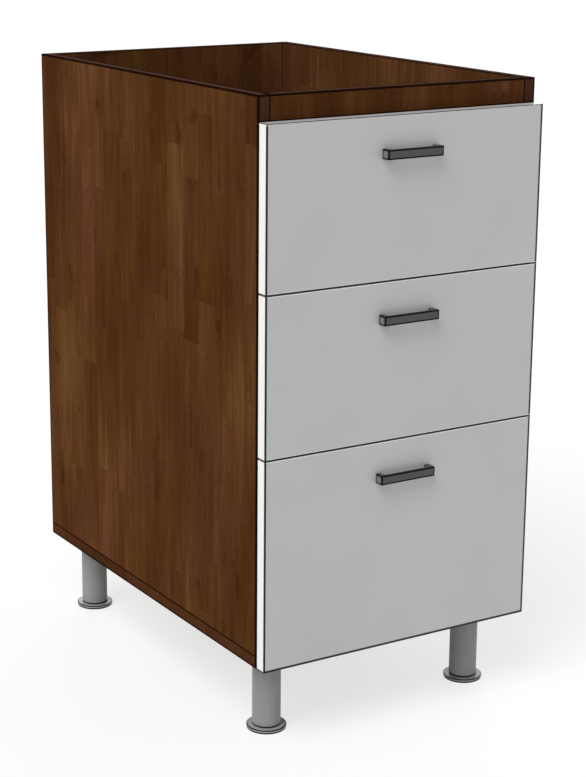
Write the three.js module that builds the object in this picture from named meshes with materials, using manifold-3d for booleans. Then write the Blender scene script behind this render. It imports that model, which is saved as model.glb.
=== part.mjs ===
// A kitchen base cabinet with three drawers, on four levelling legs.
//
// Walnut-coloured 16 mm boards make an open-topped carcase: two sides stand on a full-size bottom
// board, two upright rails tie them together under the worktop, and a thin back sits in grooves.
// Each drawer is a grooved box on a pair of three-part ball slides, behind a grey front with a
// bridge handle. The feet screw in and out of the leg tubes.
//
// Millimetres. +X is to the right seen from the front, +Y towards the wall, +Z up. The origin is on
// the floor, under the middle of the whole cabinet with its fronts and handles.

import * as THREE from 'three';
import { mergeVertices } from 'three/addons/utils/BufferGeometryUtils.js';
import Module from 'manifold-3d';

const wasm = await Module();
wasm.setup();

// ---------------------------------------------------------------- driving sizes

// Carcase
const cabinetWidth = 400;
const carcaseDepth = 580;
const carcaseHeight = 700;
const boardThickness = 16;
const frontRailHeight = 80;
const rearRailHeight = 100;
const backThickness = 3;
const backGrooveDepth = 7;

// Carcase fittings: long screws up through the bottom board, and a cam and bolt at each rail's end
const longScrewHole = 7;
const longScrewHead = 10;
const longScrewPilot = 5;
const longScrewLength = 50;
const longScrewInset = 100;
const longScrewCount = 3;
const camDiameter = 15;
const camDepth = 12.5;
const camInset = 34;
const boltHole = 8;
const boltPilot = 5;
const boltPilotDepth = 11;

// Drawer fronts. A front's pitch is its share of the height: the two upper ones have the same, and
// the bottom one has what is left below the strip of rail that shows over the top front.
const railShow = 30;
const upperPitch = 200;
const frontThickness = 18;
const frontGap = 2;
const frontReveal = 0.5;
const frontArris = 1;
const bumperThickness = 0.75;

// Drawer boxes
const boxBoard = 16;
const boxLift = 16;
const boxFloorClearance = 12;
const boxHeadroom = 14;
const boxBottomThickness = 3;
const boxBottomRise = 12;
const boxGrooveDepth = 8;
const frontScrewHole = 4.5;
const frontScrewPilot = 3;
const frontScrewDepth = 12;
const frontScrewInset = 45;
const frontScrewRise = 35;
const frontScrewDrop = 30;

// Ball slides: three strips of rolled steel that nest in the space beside the box
const slideLength = 500;
const slideWidth = 12.5;
const slideHeight = 45.5;
const slideSheet = 1.2;
const slideSetback = 2;
const slideRise = 40;
const slideRunningGap = 0.8;
const slideBoxGap = 1.2;
const slideBall = 4;
const slideBallPlay = 0.15;
const slideBendRadius = 2;
const slideDipRadius = 1.5;
const slideDipAngle = 40;
const slideOuterHook = 75;
const slideMiddleHook = 60;
const slideInnerHook = 30;
const slideScrewHole = 5;
const slideScrewInset = 37;
const slideScrewCount = 3;

// Handles
const handleLength = 80;
const handleHeight = 12;
const handleProjection = 13;
const handleBar = 4;
const handlePost = 7;
const handleInnerRadius = 4;
const handleArris = 0.5;
const handleDrop = 45;
const handleScrewHole = 4.5;
const handleScrewHead = 8.5;
const handleThreadCore = 3.3;
const handleThreadDepth = 9;

// Legs
const legHeight = 106;
const legInsetSide = 45;
const legInsetFront = 47.5;
const legInsetRear = 45;
const tubeDiameter = 36.5;
const tubeWall = 1.5;
const plateSize = 66;
const plateThickness = 3;
const plateCornerRadius = 10;
const plateScrewHole = 5;
const plateScrewInset = 9;
const spigotLength = 15;
const spigotWall = 3;
const insertLength = 12;
const footDiameter = 51;
const footThickness = 5;
const footArris = 1;
const footSeam = 0.5;
const footTravel = 20;
const stemDiameter = 10;
const stemChamfer = 1;

// Fits
const grooveClearance = 0.3;
const turningClearance = 0.3;

// Facets
const roundFacets = 40;
const boreFacets = 24;
const holeFacets = 8;
const cornerFacets = 4;
const arrisFacets = 2;
const bendStep = 25;

// ---------------------------------------------------------------- places worked out from the sizes

const innerWidth = cabinetWidth - 2 * boardThickness;
const frontStack = bumperThickness + frontThickness + handleProjection;
const carcaseFrontY = -(carcaseDepth - frontStack) / 2;
const backGroove = backThickness + 2 * grooveClearance;
const backPlane = carcaseDepth - boardThickness / 2;
const bottomPitch = carcaseHeight - railShow - 2 * upperPitch;
const boxTopGap = frontRailHeight - railShow + boxHeadroom;
const drawers = [
  { name: 'top', pitch: upperPitch, lift: boxLift },
  { name: 'middle', pitch: upperPitch, lift: boxLift },
  { name: 'bottom', pitch: bottomPitch, lift: boardThickness + boxFloorClearance },
];
const boxWidth = innerWidth - 2 * slideWidth;
const boxInnerWidth = boxWidth - 2 * boxBoard;
const boxLength = bumperThickness + slideSetback + slideLength;
const boxInnerLength = boxLength - 2 * boxBoard;
const boxGroove = boxBottomThickness + 2 * grooveClearance;
const tubeBottom = footThickness + footSeam;
const tubeTop = legHeight - plateThickness;

// ---------------------------------------------------------------- finishes

function finish(colour, roughness, metalness) {
  return new THREE.MeshStandardMaterial({ color: colour, roughness, metalness });
}

const walnutBoard = finish(0x55321b, 0.55, 0);
const hardboard = finish(0x6b4a2e, 0.75, 0);
const greyFront = finish(0xb2b2b2, 0.45, 0);
const boxWhite = finish(0xdedcd6, 0.5, 0);
const zincedSteel = finish(0xb9bcc0, 0.35, 0.9);
const handleGraphite = finish(0x505050, 0.4, 0.5);
const legGrey = finish(0x8f8f8f, 0.4, 0.6);
const footGrey = finish(0xa9a9a9, 0.5, 0.3);

// ---------------------------------------------------------------- solids

/** Makes a named sub-part and puts it in its group at its place. */
function addPart(group, name, geometry, material, place = [0, 0, 0]) {
  const mesh = new THREE.Mesh(geometry, material);
  mesh.name = name;
  mesh.position.set(...place);
  group.add(mesh);
}

/** A square-edged board whose lowest corner is its own origin. */
function board(width, depth, height) {
  return new THREE.BoxGeometry(width, depth, height).translate(width / 2, depth / 2, height / 2);
}

/** An upright outline (x, z) drawn out along +Y from y = 0. */
function alongY(shape, length, options = {}) {
  const toWorld = new THREE.Matrix4().makeBasis(
    new THREE.Vector3(1, 0, 0),
    new THREE.Vector3(0, 0, 1),
    new THREE.Vector3(0, -1, 0),
  );
  return extrude(shape, length, options).applyMatrix4(toWorld).translate(0, length, 0);
}

/** An upright outline (y, z) drawn out along +X from x = 0. */
function alongX(shape, length, options = {}) {
  const toWorld = new THREE.Matrix4().makeBasis(
    new THREE.Vector3(0, 1, 0),
    new THREE.Vector3(0, 0, 1),
    new THREE.Vector3(1, 0, 0),
  );
  return extrude(shape, length, options).applyMatrix4(toWorld);
}

/** A flat outline (x, y) drawn out along +Z. With an arris, both faces' edges are rounded off. */
function extrude(shape, length, { arris = 0, facets = cornerFacets } = {}) {
  const rounded = arris > 0;
  return new THREE.ExtrudeGeometry(shape, {
    depth: length - 2 * arris,
    bevelEnabled: rounded,
    bevelThickness: arris,
    bevelSize: arris,
    bevelOffset: -arris,
    bevelSegments: arrisFacets,
    curveSegments: facets,
  }).translate(0, 0, arris);
}

/** A closed outline from a list of [x, y] corners. */
function outline(corners) {
  return new THREE.Shape(corners.map(([x, y]) => new THREE.Vector2(x, y)));
}

/** A round rod along an axis, from its foot at [x, y, z], to cut a hole with or to join on. */
function rod(diameter, length, [x, y, z], axis = 'z', facets = holeFacets) {
  const cylinder = new THREE.CylinderGeometry(diameter / 2, diameter / 2, length, facets);
  if (axis === 'x') return cylinder.rotateZ(Math.PI / 2).translate(x + length / 2, y, z);
  if (axis === 'y') return cylinder.translate(x, y + length / 2, z);
  return cylinder.rotateX(Math.PI / 2).translate(x, y, z + length / 2);
}

/** A screw head's seat: a square-cornered cone that opens out of the face at [x, y, z]. */
function countersink(hole, head, [x, y, z], axis) {
  const overshoot = hole / 4;
  const height = (head - hole) / 2 + overshoot;
  const mouth = head / 2 + overshoot;
  if (axis === 'y') {
    return new THREE.CylinderGeometry(mouth, hole / 2, height, holeFacets)
      .translate(x, y + overshoot - height / 2, z);
  }
  return new THREE.CylinderGeometry(hole / 2, mouth, height, holeFacets)
    .rotateX(Math.PI / 2)
    .translate(x, y, z - overshoot + height / 2);
}

/** The same closed body as a solid for joining and cutting. */
function toSolid(geometry) {
  const bare = geometry.clone();
  bare.deleteAttribute('normal');
  bare.deleteAttribute('uv');
  const merged = mergeVertices(bare, 1e-4);
  return new wasm.Manifold(new wasm.Mesh({
    numProp: 3,
    vertProperties: new Float32Array(merged.attributes.position.array),
    triVerts: new Uint32Array(merged.index.array),
  }));
}

/** A solid back as a geometry. */
function toGeometry(solid) {
  const mesh = solid.getMesh();
  const geometry = new THREE.BufferGeometry();
  geometry.setAttribute('position', new THREE.BufferAttribute(new Float32Array(mesh.vertProperties), 3));
  geometry.setIndex(new THREE.BufferAttribute(new Uint32Array(mesh.triVerts), 1));
  geometry.computeVertexNormals();
  return geometry;
}

function cut(geometry, tools) {
  return toGeometry(tools.reduce((solid, tool) => solid.subtract(toSolid(tool)), toSolid(geometry)));
}

function join(geometries) {
  return toGeometry(geometries.map(toSolid).reduce((sum, next) => sum.add(next)));
}

// ---------------------------------------------------------------- carcase

/** Where the long screws stand along the carcase's depth. */
function longScrewPlaces() {
  const pitch = (carcaseDepth - 2 * longScrewInset) / (longScrewCount - 1);
  return Array.from({ length: longScrewCount }, (_, index) => longScrewInset + index * pitch);
}

/**
 * A side, with the back's groove in its inner face, stopped above the back's upper edge. Its lower
 * edge is drilled for the long screws, and its inner face for the rails' bolts.
 */
function sidePanel(inner) {
  const height = carcaseHeight - boardThickness;
  const grooveHead = height - rearRailHeight + backGrooveDepth;
  const groove = board(boardThickness, backGroove, grooveHead + boardThickness).translate(
    inner * (boardThickness - backGrooveDepth),
    backPlane - backGroove / 2,
    -boardThickness,
  );
  const pilots = longScrewPlaces().map((y) => (
    rod(longScrewPilot, longScrewLength, [boardThickness / 2, y, -boardThickness])
  ));
  const boltFoot = inner > 0 ? boardThickness - boltPilotDepth : -boltPilotDepth;
  const railCentres = [
    [boardThickness / 2, height - frontRailHeight / 2],
    [carcaseDepth - boardThickness / 2, height - rearRailHeight / 2],
  ];
  const bolts = railCentres.map(([y, z]) => rod(boltPilot, 2 * boltPilotDepth, [boltFoot, y, z], 'x'));
  return cut(board(boardThickness, carcaseDepth, height), [groove, ...pilots, ...bolts]);
}

/** The bottom board, with a groove as long as the back is wide and the long screws' holes. */
function bottomPanel() {
  const grooveLength = innerWidth + 2 * backGrooveDepth;
  const groove = board(grooveLength, backGroove, boardThickness).translate(
    (cabinetWidth - grooveLength) / 2,
    backPlane - backGroove / 2,
    boardThickness - backGrooveDepth,
  );
  const holes = [];
  for (const x of [boardThickness / 2, cabinetWidth - boardThickness / 2]) {
    for (const y of longScrewPlaces()) {
      holes.push(rod(longScrewHole, 3 * boardThickness, [x, y, -boardThickness]));
      holes.push(countersink(longScrewHole, longScrewHead, [x, y, 0], 'z'));
    }
  }
  return cut(board(cabinetWidth, carcaseDepth, boardThickness), [groove, ...holes]);
}

/** The rear rail's section (y, z), with the groove that takes the back's upper edge. */
function rearRailSection() {
  const mid = boardThickness / 2;
  return outline([
    [0, 0],
    [mid - backGroove / 2, 0],
    [mid - backGroove / 2, backGrooveDepth],
    [mid + backGroove / 2, backGrooveDepth],
    [mid + backGroove / 2, 0],
    [boardThickness, 0],
    [boardThickness, rearRailHeight],
    [0, rearRailHeight],
  ]);
}

/** A rail with a cam's bore in its rear face at both ends, and the bolts' holes that lead to them. */
function rail(blank, height) {
  const tools = [];
  for (const [cam, end] of [[camInset, 0], [innerWidth - camInset, innerWidth]]) {
    const bore = [cam, boardThickness - camDepth, height / 2];
    const bolt = [Math.min(cam, 2 * end - cam), boardThickness / 2, height / 2];
    tools.push(rod(camDiameter, 2 * camDepth, bore, 'y', boreFacets));
    tools.push(rod(boltHole, 2 * camInset, bolt, 'x'));
  }
  return cut(blank, tools);
}

function makeCarcase() {
  const carcase = new THREE.Group();
  const inside = -innerWidth / 2;
  const outside = -cabinetWidth / 2;
  addPart(carcase, 'side_panel_left', sidePanel(1), walnutBoard, [outside, 0, boardThickness]);
  addPart(carcase, 'side_panel_right', sidePanel(-1), walnutBoard, [-inside, 0, boardThickness]);
  addPart(carcase, 'bottom_panel', bottomPanel(), walnutBoard, [outside, 0, 0]);
  addPart(
    carcase,
    'front_rail',
    rail(board(innerWidth, boardThickness, frontRailHeight), frontRailHeight),
    walnutBoard,
    [inside, 0, carcaseHeight - frontRailHeight],
  );
  addPart(
    carcase,
    'rear_rail',
    rail(alongX(rearRailSection(), innerWidth), rearRailHeight),
    walnutBoard,
    [inside, carcaseDepth - boardThickness, carcaseHeight - rearRailHeight],
  );

  const inGroove = backGrooveDepth - grooveClearance;
  const backFoot = boardThickness - inGroove;
  const backHead = carcaseHeight - rearRailHeight + inGroove;
  addPart(
    carcase,
    'back_panel',
    board(innerWidth + 2 * inGroove, backThickness, backHead - backFoot),
    hardboard,
    [inside - inGroove, backPlane - backThickness / 2, backFoot],
  );
  return carcase;
}

// ---------------------------------------------------------------- legs

/** The mounting plate: a rounded square with four screw holes and a spigot for the tube. */
function legPlate() {
  const half = plateSize / 2;
  const plan = new THREE.Shape();
  for (const [turn, sx, sy] of [[0, 1, 1], [1, -1, 1], [2, -1, -1], [3, 1, -1]]) {
    const start = (turn * Math.PI) / 2;
    const centre = half - plateCornerRadius;
    plan.absarc(sx * centre, sy * centre, plateCornerRadius, start, start + Math.PI / 2, false);
  }
  const plate = extrude(plan, plateThickness).translate(0, 0, tubeTop);
  const spigotRadius = tubeDiameter / 2 - tubeWall - turningClearance;
  const spigotFoot = tubeTop - spigotLength;
  const boreRadius = spigotRadius - spigotWall;
  const spigotTop = spigotLength + plateThickness;
  const spigot = rod(2 * spigotRadius, spigotTop, [0, 0, spigotFoot], 'z', boreFacets);
  const bore = rod(2 * boreRadius, 2 * spigotTop, [0, 0, spigotFoot - plateThickness], 'z', boreFacets);
  const screw = half - plateScrewInset;
  const screwHoles = [[1, 1], [-1, 1], [-1, -1], [1, -1]].map(([sx, sy]) => (
    rod(plateScrewHole, 3 * plateThickness, [sx * screw, sy * screw, tubeTop - plateThickness])
  ));
  return cut(join([plate, spigot]), [bore, ...screwHoles]);
}

/** Turns a closed (radius, height) profile about the leg's axis. */
function turned(profile) {
  const points = profile.map(([radius, height]) => new THREE.Vector2(radius, height));
  return new THREE.LatheGeometry(points, roundFacets).rotateX(Math.PI / 2);
}

/** The tube, with a threaded insert in its lower end. */
function legTube() {
  const outer = tubeDiameter / 2;
  const inner = outer - tubeWall;
  const thread = stemDiameter / 2 + turningClearance;
  return turned([
    [thread, tubeBottom],
    [outer, tubeBottom],
    [outer, tubeTop],
    [inner, tubeTop],
    [inner, tubeBottom + insertLength],
    [thread, tubeBottom + insertLength],
    [thread, tubeBottom],
  ]);
}

/** The foot: a disc on a stem long enough to stay in its insert when it is screwed right out. */
function foot() {
  const rim = footDiameter / 2;
  const stem = stemDiameter / 2;
  const stemTop = tubeBottom + insertLength + footTravel + stemDiameter / 2;
  return turned([
    [0, 0],
    [rim - footArris, 0],
    [rim, footArris],
    [rim, footThickness - footArris],
    [rim - footArris, footThickness],
    [stem, footThickness],
    [stem, stemTop - stemChamfer],
    [stem - stemChamfer, stemTop],
    [0, stemTop],
  ]);
}

function makeLegs() {
  const legs = new THREE.Group();
  const sideX = cabinetWidth / 2 - legInsetSide;
  for (const [row, y] of [['front', legInsetFront], ['rear', carcaseDepth - legInsetRear]]) {
    for (const [side, x] of [['left', -sideX], ['right', sideX]]) {
      const leg = new THREE.Group();
      leg.position.set(x, y, 0);
      addPart(leg, `leg_plate_${row}_${side}`, legPlate(), legGrey);
      addPart(leg, `leg_tube_${row}_${side}`, legTube(), legGrey);
      addPart(leg, `foot_${row}_${side}`, foot(), footGrey);
      legs.add(leg);
    }
  }
  return legs;
}

// ---------------------------------------------------------------- ball slides

/**
 * The middle line of a rolled strip, followed like a walk: straight runs and bends. It starts on
 * the slide's centre line and climbs; the lower half of the strip is its mirror image.
 */
class Strip {
  constructor(x) {
    this.x = x;
    this.y = 0;
    this.heading = Math.PI / 2;
    this.stations = [];
    this.mark();
  }

  mark() {
    this.stations.push([this.x, this.y, this.heading]);
  }

  run(length) {
    this.x += length * Math.cos(this.heading);
    this.y += length * Math.sin(this.heading);
    this.mark();
    return this;
  }

  /** Bends by an angle in degrees, to the left when it is positive. */
  bend(radius, degrees) {
    const steps = Math.ceil(Math.abs(degrees) / bendStep);
    const turn = THREE.MathUtils.degToRad(degrees) / steps;
    const side = Math.sign(degrees);
    for (let step = 0; step < steps; step += 1) {
      const centreX = this.x - side * radius * Math.sin(this.heading);
      const centreY = this.y + side * radius * Math.cos(this.heading);
      this.heading += turn;
      this.x = centreX + side * radius * Math.sin(this.heading);
      this.y = centreY - side * radius * Math.cos(this.heading);
      this.mark();
    }
    return this;
  }

  /** The strip's section, its sheet laid half on each side of the middle line. */
  section(sheet, handed) {
    const beside = (offset) => this.stations.map(([x, y, heading]) => [
      x - offset * Math.sin(heading),
      y + offset * Math.cos(heading),
    ]);
    const left = beside(sheet / 2);
    const right = beside(-sheet / 2);
    const mirrored = (side) => side.slice(1).map(([x, y]) => [x, -y]);
    const corners = [
      ...right,
      ...left.toReversed(),
      ...mirrored(left),
      ...mirrored(right).toReversed(),
    ];
    return outline(corners.map(([x, y]) => [handed * x, y]));
  }
}

// The balls run in curved races with a little play. One row runs between the outer and the middle
// strip, near the drawer, and one between the middle and the inner strip, near the cabinet's side.
const race = slideBall / 2 + slideBallPlay + slideSheet / 2;
const middleWeb = slideSheet + slideRunningGap + slideSheet / 2;
const innerRow = { x: middleWeb + race };
const outerRow = {
  x: slideWidth - slideBoxGap - race - slideSheet / 2,
  y: slideHeight / 2 - slideSheet / 2 - race,
};
// The middle strip bends straight from one race into the other, so the two touch
innerRow.y = outerRow.y - Math.sqrt((2 * race) ** 2 - (outerRow.x - innerRow.x) ** 2);
const lean = THREE.MathUtils.radToDeg(Math.atan2(outerRow.y - innerRow.y, outerRow.x - innerRow.x));

// Beside its race a flange dips: how far the dip's start lies from the race's crown
const dip = THREE.MathUtils.degToRad(slideDipAngle);
const dipRun = (race + slideDipRadius) * Math.sin(dip);
const dipRise = (race + slideDipRadius) * (1 - Math.cos(dip));

/** Against the cabinet's side: a channel whose flanges end in hooked races. */
function outerStrip() {
  const flangeHeight = outerRow.y + race - dipRise;
  const web = slideSheet / 2;
  return new Strip(web)
    .run(flangeHeight - slideBendRadius)
    .bend(slideBendRadius, -90)
    .run(outerRow.x - dipRun - web - slideBendRadius)
    .bend(slideDipRadius, slideDipAngle)
    .bend(race, -slideDipAngle - slideOuterHook);
}

/** Between the two: each flange is an S, with a race on its inside and one on its outside. */
function middleStrip() {
  return new Strip(middleWeb)
    .run(innerRow.y)
    .bend(race, lean - 180)
    .bend(race, 90 - lean + slideMiddleHook);
}

/** Against the drawer box: a shallow channel with a race in each flange. */
function innerStrip() {
  const flangeHeight = innerRow.y - race + dipRise;
  const web = slideWidth - slideSheet / 2;
  return new Strip(web)
    .run(flangeHeight - slideBendRadius)
    .bend(slideBendRadius, 90)
    .run(web - slideBendRadius - innerRow.x - dipRun)
    .bend(slideDipRadius, slideDipAngle)
    .bend(race, -slideDipAngle - slideInnerHook);
}

/** A strip cut to length, with its screw holes through the web. */
function slideMember(strip, handed, screwed) {
  const bar = alongY(strip.section(slideSheet, handed), slideLength);
  if (!screwed) return bar;
  const pitch = (slideLength - 2 * slideScrewInset) / (slideScrewCount - 1);
  const [web] = strip.stations[0];
  const holes = Array.from({ length: slideScrewCount }, (_, hole) => (
    rod(slideScrewHole, 4 * slideSheet, [0, 0, -2 * slideSheet])
      .rotateY(Math.PI / 2)
      .translate(handed * web, slideScrewInset + hole * pitch, 0)
  ));
  return cut(bar, holes);
}

// ---------------------------------------------------------------- drawers

/** Where the screws through the box's front board stand, as [x, z] from the box's foot. */
function frontScrewPlaces(boxHeight) {
  const side = boxInnerWidth / 2 - frontScrewInset;
  return [frontScrewRise, boxHeight - frontScrewDrop].flatMap((z) => [[-side, z], [side, z]]);
}

/** A front, drilled right through for its handle's screws, and part way for its box's. */
function frontPanel(height, handleCentre, boxScrews) {
  const width = cabinetWidth - 2 * frontReveal;
  const face = outline([[-width / 2, 0], [width / 2, 0], [width / 2, height], [-width / 2, height]]);
  const panel = alongY(face, frontThickness, { arris: frontArris });
  const post = (handleLength - handlePost) / 2;
  const holes = [-post, post].flatMap((x) => [
    rod(handleScrewHole, 2 * frontThickness, [x, -frontThickness / 2, handleCentre], 'y'),
    countersink(handleScrewHole, handleScrewHead, [x, frontThickness, handleCentre], 'y'),
  ]);
  const pilots = boxScrews.map(([x, z]) => (
    rod(frontScrewPilot, frontThickness, [x, frontThickness - frontScrewDepth, z], 'y')
  ));
  return cut(panel, [...holes, ...pilots]);
}

/** A bridge handle: a flat bar on two posts, with rounded inner corners and tapped posts. */
function handle() {
  const half = handleLength / 2;
  const opening = half - handlePost;
  const reach = handleProjection - handleBar;
  const radius = handleInnerRadius;
  const plan = new THREE.Shape();
  plan.moveTo(half, 0);
  plan.lineTo(opening, 0);
  plan.lineTo(opening, radius - reach);
  plan.absarc(opening - radius, radius - reach, radius, 0, -Math.PI / 2, true);
  plan.lineTo(radius - opening, -reach);
  plan.absarc(radius - opening, radius - reach, radius, -Math.PI / 2, -Math.PI, true);
  plan.lineTo(-opening, 0);
  plan.lineTo(-half, 0);
  plan.lineTo(-half, -handleProjection);
  plan.lineTo(half, -handleProjection);
  const body = extrude(plan, handleHeight, { arris: handleArris }).translate(0, 0, -handleHeight / 2);
  const post = (handleLength - handlePost) / 2;
  const threads = [-post, post].map((x) => (
    rod(handleThreadCore, 2 * handleThreadDepth, [x, -handleThreadDepth, 0], 'y')
  ));
  return cut(body, threads);
}

/** A box board's section, upright from (0, 0), with the bottom's groove in its inner face. */
function boxBoardSection(height) {
  const grooveFloor = boxBoard - boxGrooveDepth;
  return [
    [0, 0],
    [boxBoard, 0],
    [boxBoard, boxBottomRise],
    [grooveFloor, boxBottomRise],
    [grooveFloor, boxBottomRise + boxGroove],
    [boxBoard, boxBottomRise + boxGroove],
    [boxBoard, height],
    [0, height],
  ];
}

/** The box's five boards; its front board lies against the drawer's front. */
function addBox(group, name, height, lift) {
  const section = boxBoardSection(height);
  for (const [side, handed] of [['left', 1], ['right', -1]]) {
    const upright = outline(section.map(([x, z]) => [handed * (x - boxWidth / 2), z]));
    const sideBoard = alongY(upright, boxLength);
    addPart(group, `box_side_${side}_${name}`, sideBoard, boxWhite, [0, -bumperThickness, lift]);
  }
  const across = (faces) => alongX(outline(section.map(([y, z]) => [faces * y, z])), boxInnerWidth);
  const boxRear = boxLength - bumperThickness;
  const left = -boxInnerWidth / 2;
  const screwHoles = frontScrewPlaces(height).map(([x, z]) => (
    rod(frontScrewHole, 3 * boxBoard, [x - left, -boxBoard, z], 'y')
  ));
  const boxFront = cut(across(1), screwHoles);
  addPart(group, `box_front_${name}`, boxFront, boxWhite, [left, -bumperThickness, lift]);
  addPart(group, `box_back_${name}`, across(-1), boxWhite, [left, boxRear, lift]);

  const inGroove = boxGrooveDepth - grooveClearance;
  addPart(
    group,
    `box_bottom_${name}`,
    board(boxInnerWidth + 2 * inGroove, boxInnerLength + 2 * inGroove, boxBottomThickness),
    boxWhite,
    [left - inGroove, boxBoard - bumperThickness - inGroove, lift + boxBottomRise + grooveClearance],
  );
}

/** One drawer, with its slides. Its group's z = 0 is the lower edge of the front's pitch. */
function makeDrawer({ name, pitch, lift }, lowest) {
  const drawer = new THREE.Group();
  const frontBottom = lowest ? 0 : frontGap / 2;
  const frontHeight = pitch - frontGap / 2 - frontBottom;
  const frontFace = -bumperThickness - frontThickness;
  const handleCentre = frontHeight - handleDrop;
  const boxHeight = pitch - lift - boxTopGap;
  const boxScrews = frontScrewPlaces(boxHeight).map(([x, z]) => [x, z + lift - frontBottom]);
  addPart(
    drawer,
    `drawer_front_${name}`,
    frontPanel(frontHeight, handleCentre, boxScrews),
    greyFront,
    [0, frontFace, frontBottom],
  );
  addPart(drawer, `handle_${name}`, handle(), handleGraphite, [0, frontFace, frontBottom + handleCentre]);
  addBox(drawer, name, boxHeight, lift);

  const slideZ = lift + slideRise;
  for (const [side, handed] of [['left', 1], ['right', -1]]) {
    const wall = [(-handed * innerWidth) / 2, slideSetback, slideZ];
    const outer = slideMember(outerStrip(), handed, true);
    const middle = slideMember(middleStrip(), handed, false);
    const inner = slideMember(innerStrip(), handed, true);
    addPart(drawer, `slide_outer_${side}_${name}`, outer, zincedSteel, wall);
    addPart(drawer, `slide_middle_${side}_${name}`, middle, zincedSteel, wall);
    addPart(drawer, `slide_inner_${side}_${name}`, inner, zincedSteel, wall);
  }
  return drawer;
}

function makeDrawers() {
  const stack = new THREE.Group();
  let lowerEdge = 0;
  for (const spec of drawers.toReversed()) {
    const drawer = makeDrawer(spec, lowerEdge === 0);
    drawer.position.z = lowerEdge;
    stack.add(drawer);
    lowerEdge += spec.pitch;
  }
  return stack;
}

// ---------------------------------------------------------------- the cabinet

const cabinet = new THREE.Group();
cabinet.name = 'base_cabinet';

const raised = new THREE.Group();
raised.position.z = legHeight;
raised.add(makeCarcase(), makeDrawers());

const standing = new THREE.Group();
standing.position.y = carcaseFrontY;
standing.add(raised, makeLegs());
cabinet.add(standing);

export default cabinet;
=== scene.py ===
# %% [markdown]
# # A kitchen base cabinet with three drawers
#
# The cabinet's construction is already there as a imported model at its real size: boards, slides,
# legs and handles, each a part on its own. This lesson gives it its looks. It makes the finishes,
# the small fittings that hold the parts together, the balls in the slides, a camera and a studio.
#
# Everything is in metres, with +X to the right, +Y towards the wall and +Z up. The origin is on
# the floor under the middle of the cabinet. A new piece goes exactly where the model says, so
# nothing is fitted by eye.

# %% Load the model
import math

import bpy
from mathutils import Matrix, Vector


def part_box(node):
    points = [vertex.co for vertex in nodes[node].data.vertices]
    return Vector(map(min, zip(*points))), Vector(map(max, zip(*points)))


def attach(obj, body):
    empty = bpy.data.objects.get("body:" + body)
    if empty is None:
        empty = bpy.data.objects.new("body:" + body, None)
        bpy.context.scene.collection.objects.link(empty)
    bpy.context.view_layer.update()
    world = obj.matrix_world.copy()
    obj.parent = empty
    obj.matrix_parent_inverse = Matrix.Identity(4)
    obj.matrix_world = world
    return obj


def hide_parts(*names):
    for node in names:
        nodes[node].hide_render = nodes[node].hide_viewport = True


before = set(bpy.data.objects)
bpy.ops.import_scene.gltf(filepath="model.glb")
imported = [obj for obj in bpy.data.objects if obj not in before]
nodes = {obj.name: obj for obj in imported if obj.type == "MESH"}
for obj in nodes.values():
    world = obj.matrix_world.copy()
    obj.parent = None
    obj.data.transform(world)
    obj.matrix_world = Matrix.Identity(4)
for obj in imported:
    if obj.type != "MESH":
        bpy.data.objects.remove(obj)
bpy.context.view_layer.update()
bpy.context.scene.view_settings.view_transform = "Standard"

# %% [markdown]
# ## Units and colours
#
# The model is in metres, but a joiner thinks in millimetres, so sizes here are written as a
# number times `MM`. Colours are written the way a paint card gives them, as six hexadecimal
# digits, and `tone` turns them into the linear values that a shader wants.

# %% Units and colours
MM = 0.001


def tone(code):
    """A colour written as RRGGBB, in linear light."""
    steps = [int(code[start:start + 2], 16) / 255 for start in (0, 2, 4)]
    linear = [
        step / 12.92 if step <= 0.04045 else ((step + 0.055) / 1.055) ** 2.4 for step in steps
    ]
    return (*linear, 1.0)


print("1 mm is", MM, "m, and half grey is", round(tone("808080")[0], 3), "in linear light")

# %% [markdown]
# ## Formulas that build nodes
#
# A procedural finish is a formula over the place of a point: how far it lies from an edge, which
# strip of veneer it is on, how dark the grain is there. Written as nodes by hand, a formula takes
# dozens of lines. `Value` wraps a node's output and answers `+`, `-`, `*` and `/` by adding the
# Math node that does it, so the finishes below read like the formulas they are. The same class
# serves the Geometry Nodes trees, because they have the same Math node.

# %% Values and trees
class Value:
    """A node's output that can stand in a formula."""

    def __init__(self, tree, socket):
        self.tree = tree
        self.socket = socket

    def __add__(self, other):
        return self.tree.math("ADD", self, other)

    def __sub__(self, other):
        return self.tree.math("SUBTRACT", self, other)

    def __rsub__(self, other):
        return self.tree.math("SUBTRACT", other, self)

    def __mul__(self, other):
        return self.tree.math("MULTIPLY", self, other)

    def __truediv__(self, other):
        return self.tree.math("DIVIDE", self, other)

    def __abs__(self):
        return self.tree.math("ABSOLUTE", self)

    __radd__ = __add__
    __rmul__ = __mul__


class Tree:
    """A node tree that is being built."""

    def __init__(self, tree):
        self.tree = tree

    def feed(self, socket, value):
        if isinstance(value, Value):
            self.tree.links.new(value.socket, socket)
        else:
            socket.default_value = value

    def add(self, kind, settings=None, sockets=None, output=0):
        """Adds a node: its settings first, then the values or links of its sockets."""
        node = self.tree.nodes.new(kind)
        for name, setting in (settings or {}).items():
            if name == "stops":
                set_stops(node.color_ramp, setting)
            else:
                setattr(node, name, setting)
        for name, value in (sockets or {}).items():
            self.feed(node.inputs[name], value)
        return Value(self, node.outputs[output])

    def outputs(self, value):
        """All the outputs of the node that a value comes from."""
        return [Value(self, socket) for socket in value.socket.node.outputs]

    def math(self, operation, *operands):
        return self.add("ShaderNodeMath", {"operation": operation}, dict(enumerate(operands)))

    def least(self, one, other):
        return self.math("MINIMUM", one, other)

    def most(self, one, other):
        return self.math("MAXIMUM", one, other)


def set_stops(ramp, stops):
    """Gives a colour ramp its stops, a list of positions and colours."""
    while len(ramp.elements) < len(stops):
        ramp.elements.new(1.0)
    for element, (position, colour) in zip(ramp.elements, stops):
        element.position = position
        element.color = colour


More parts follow.
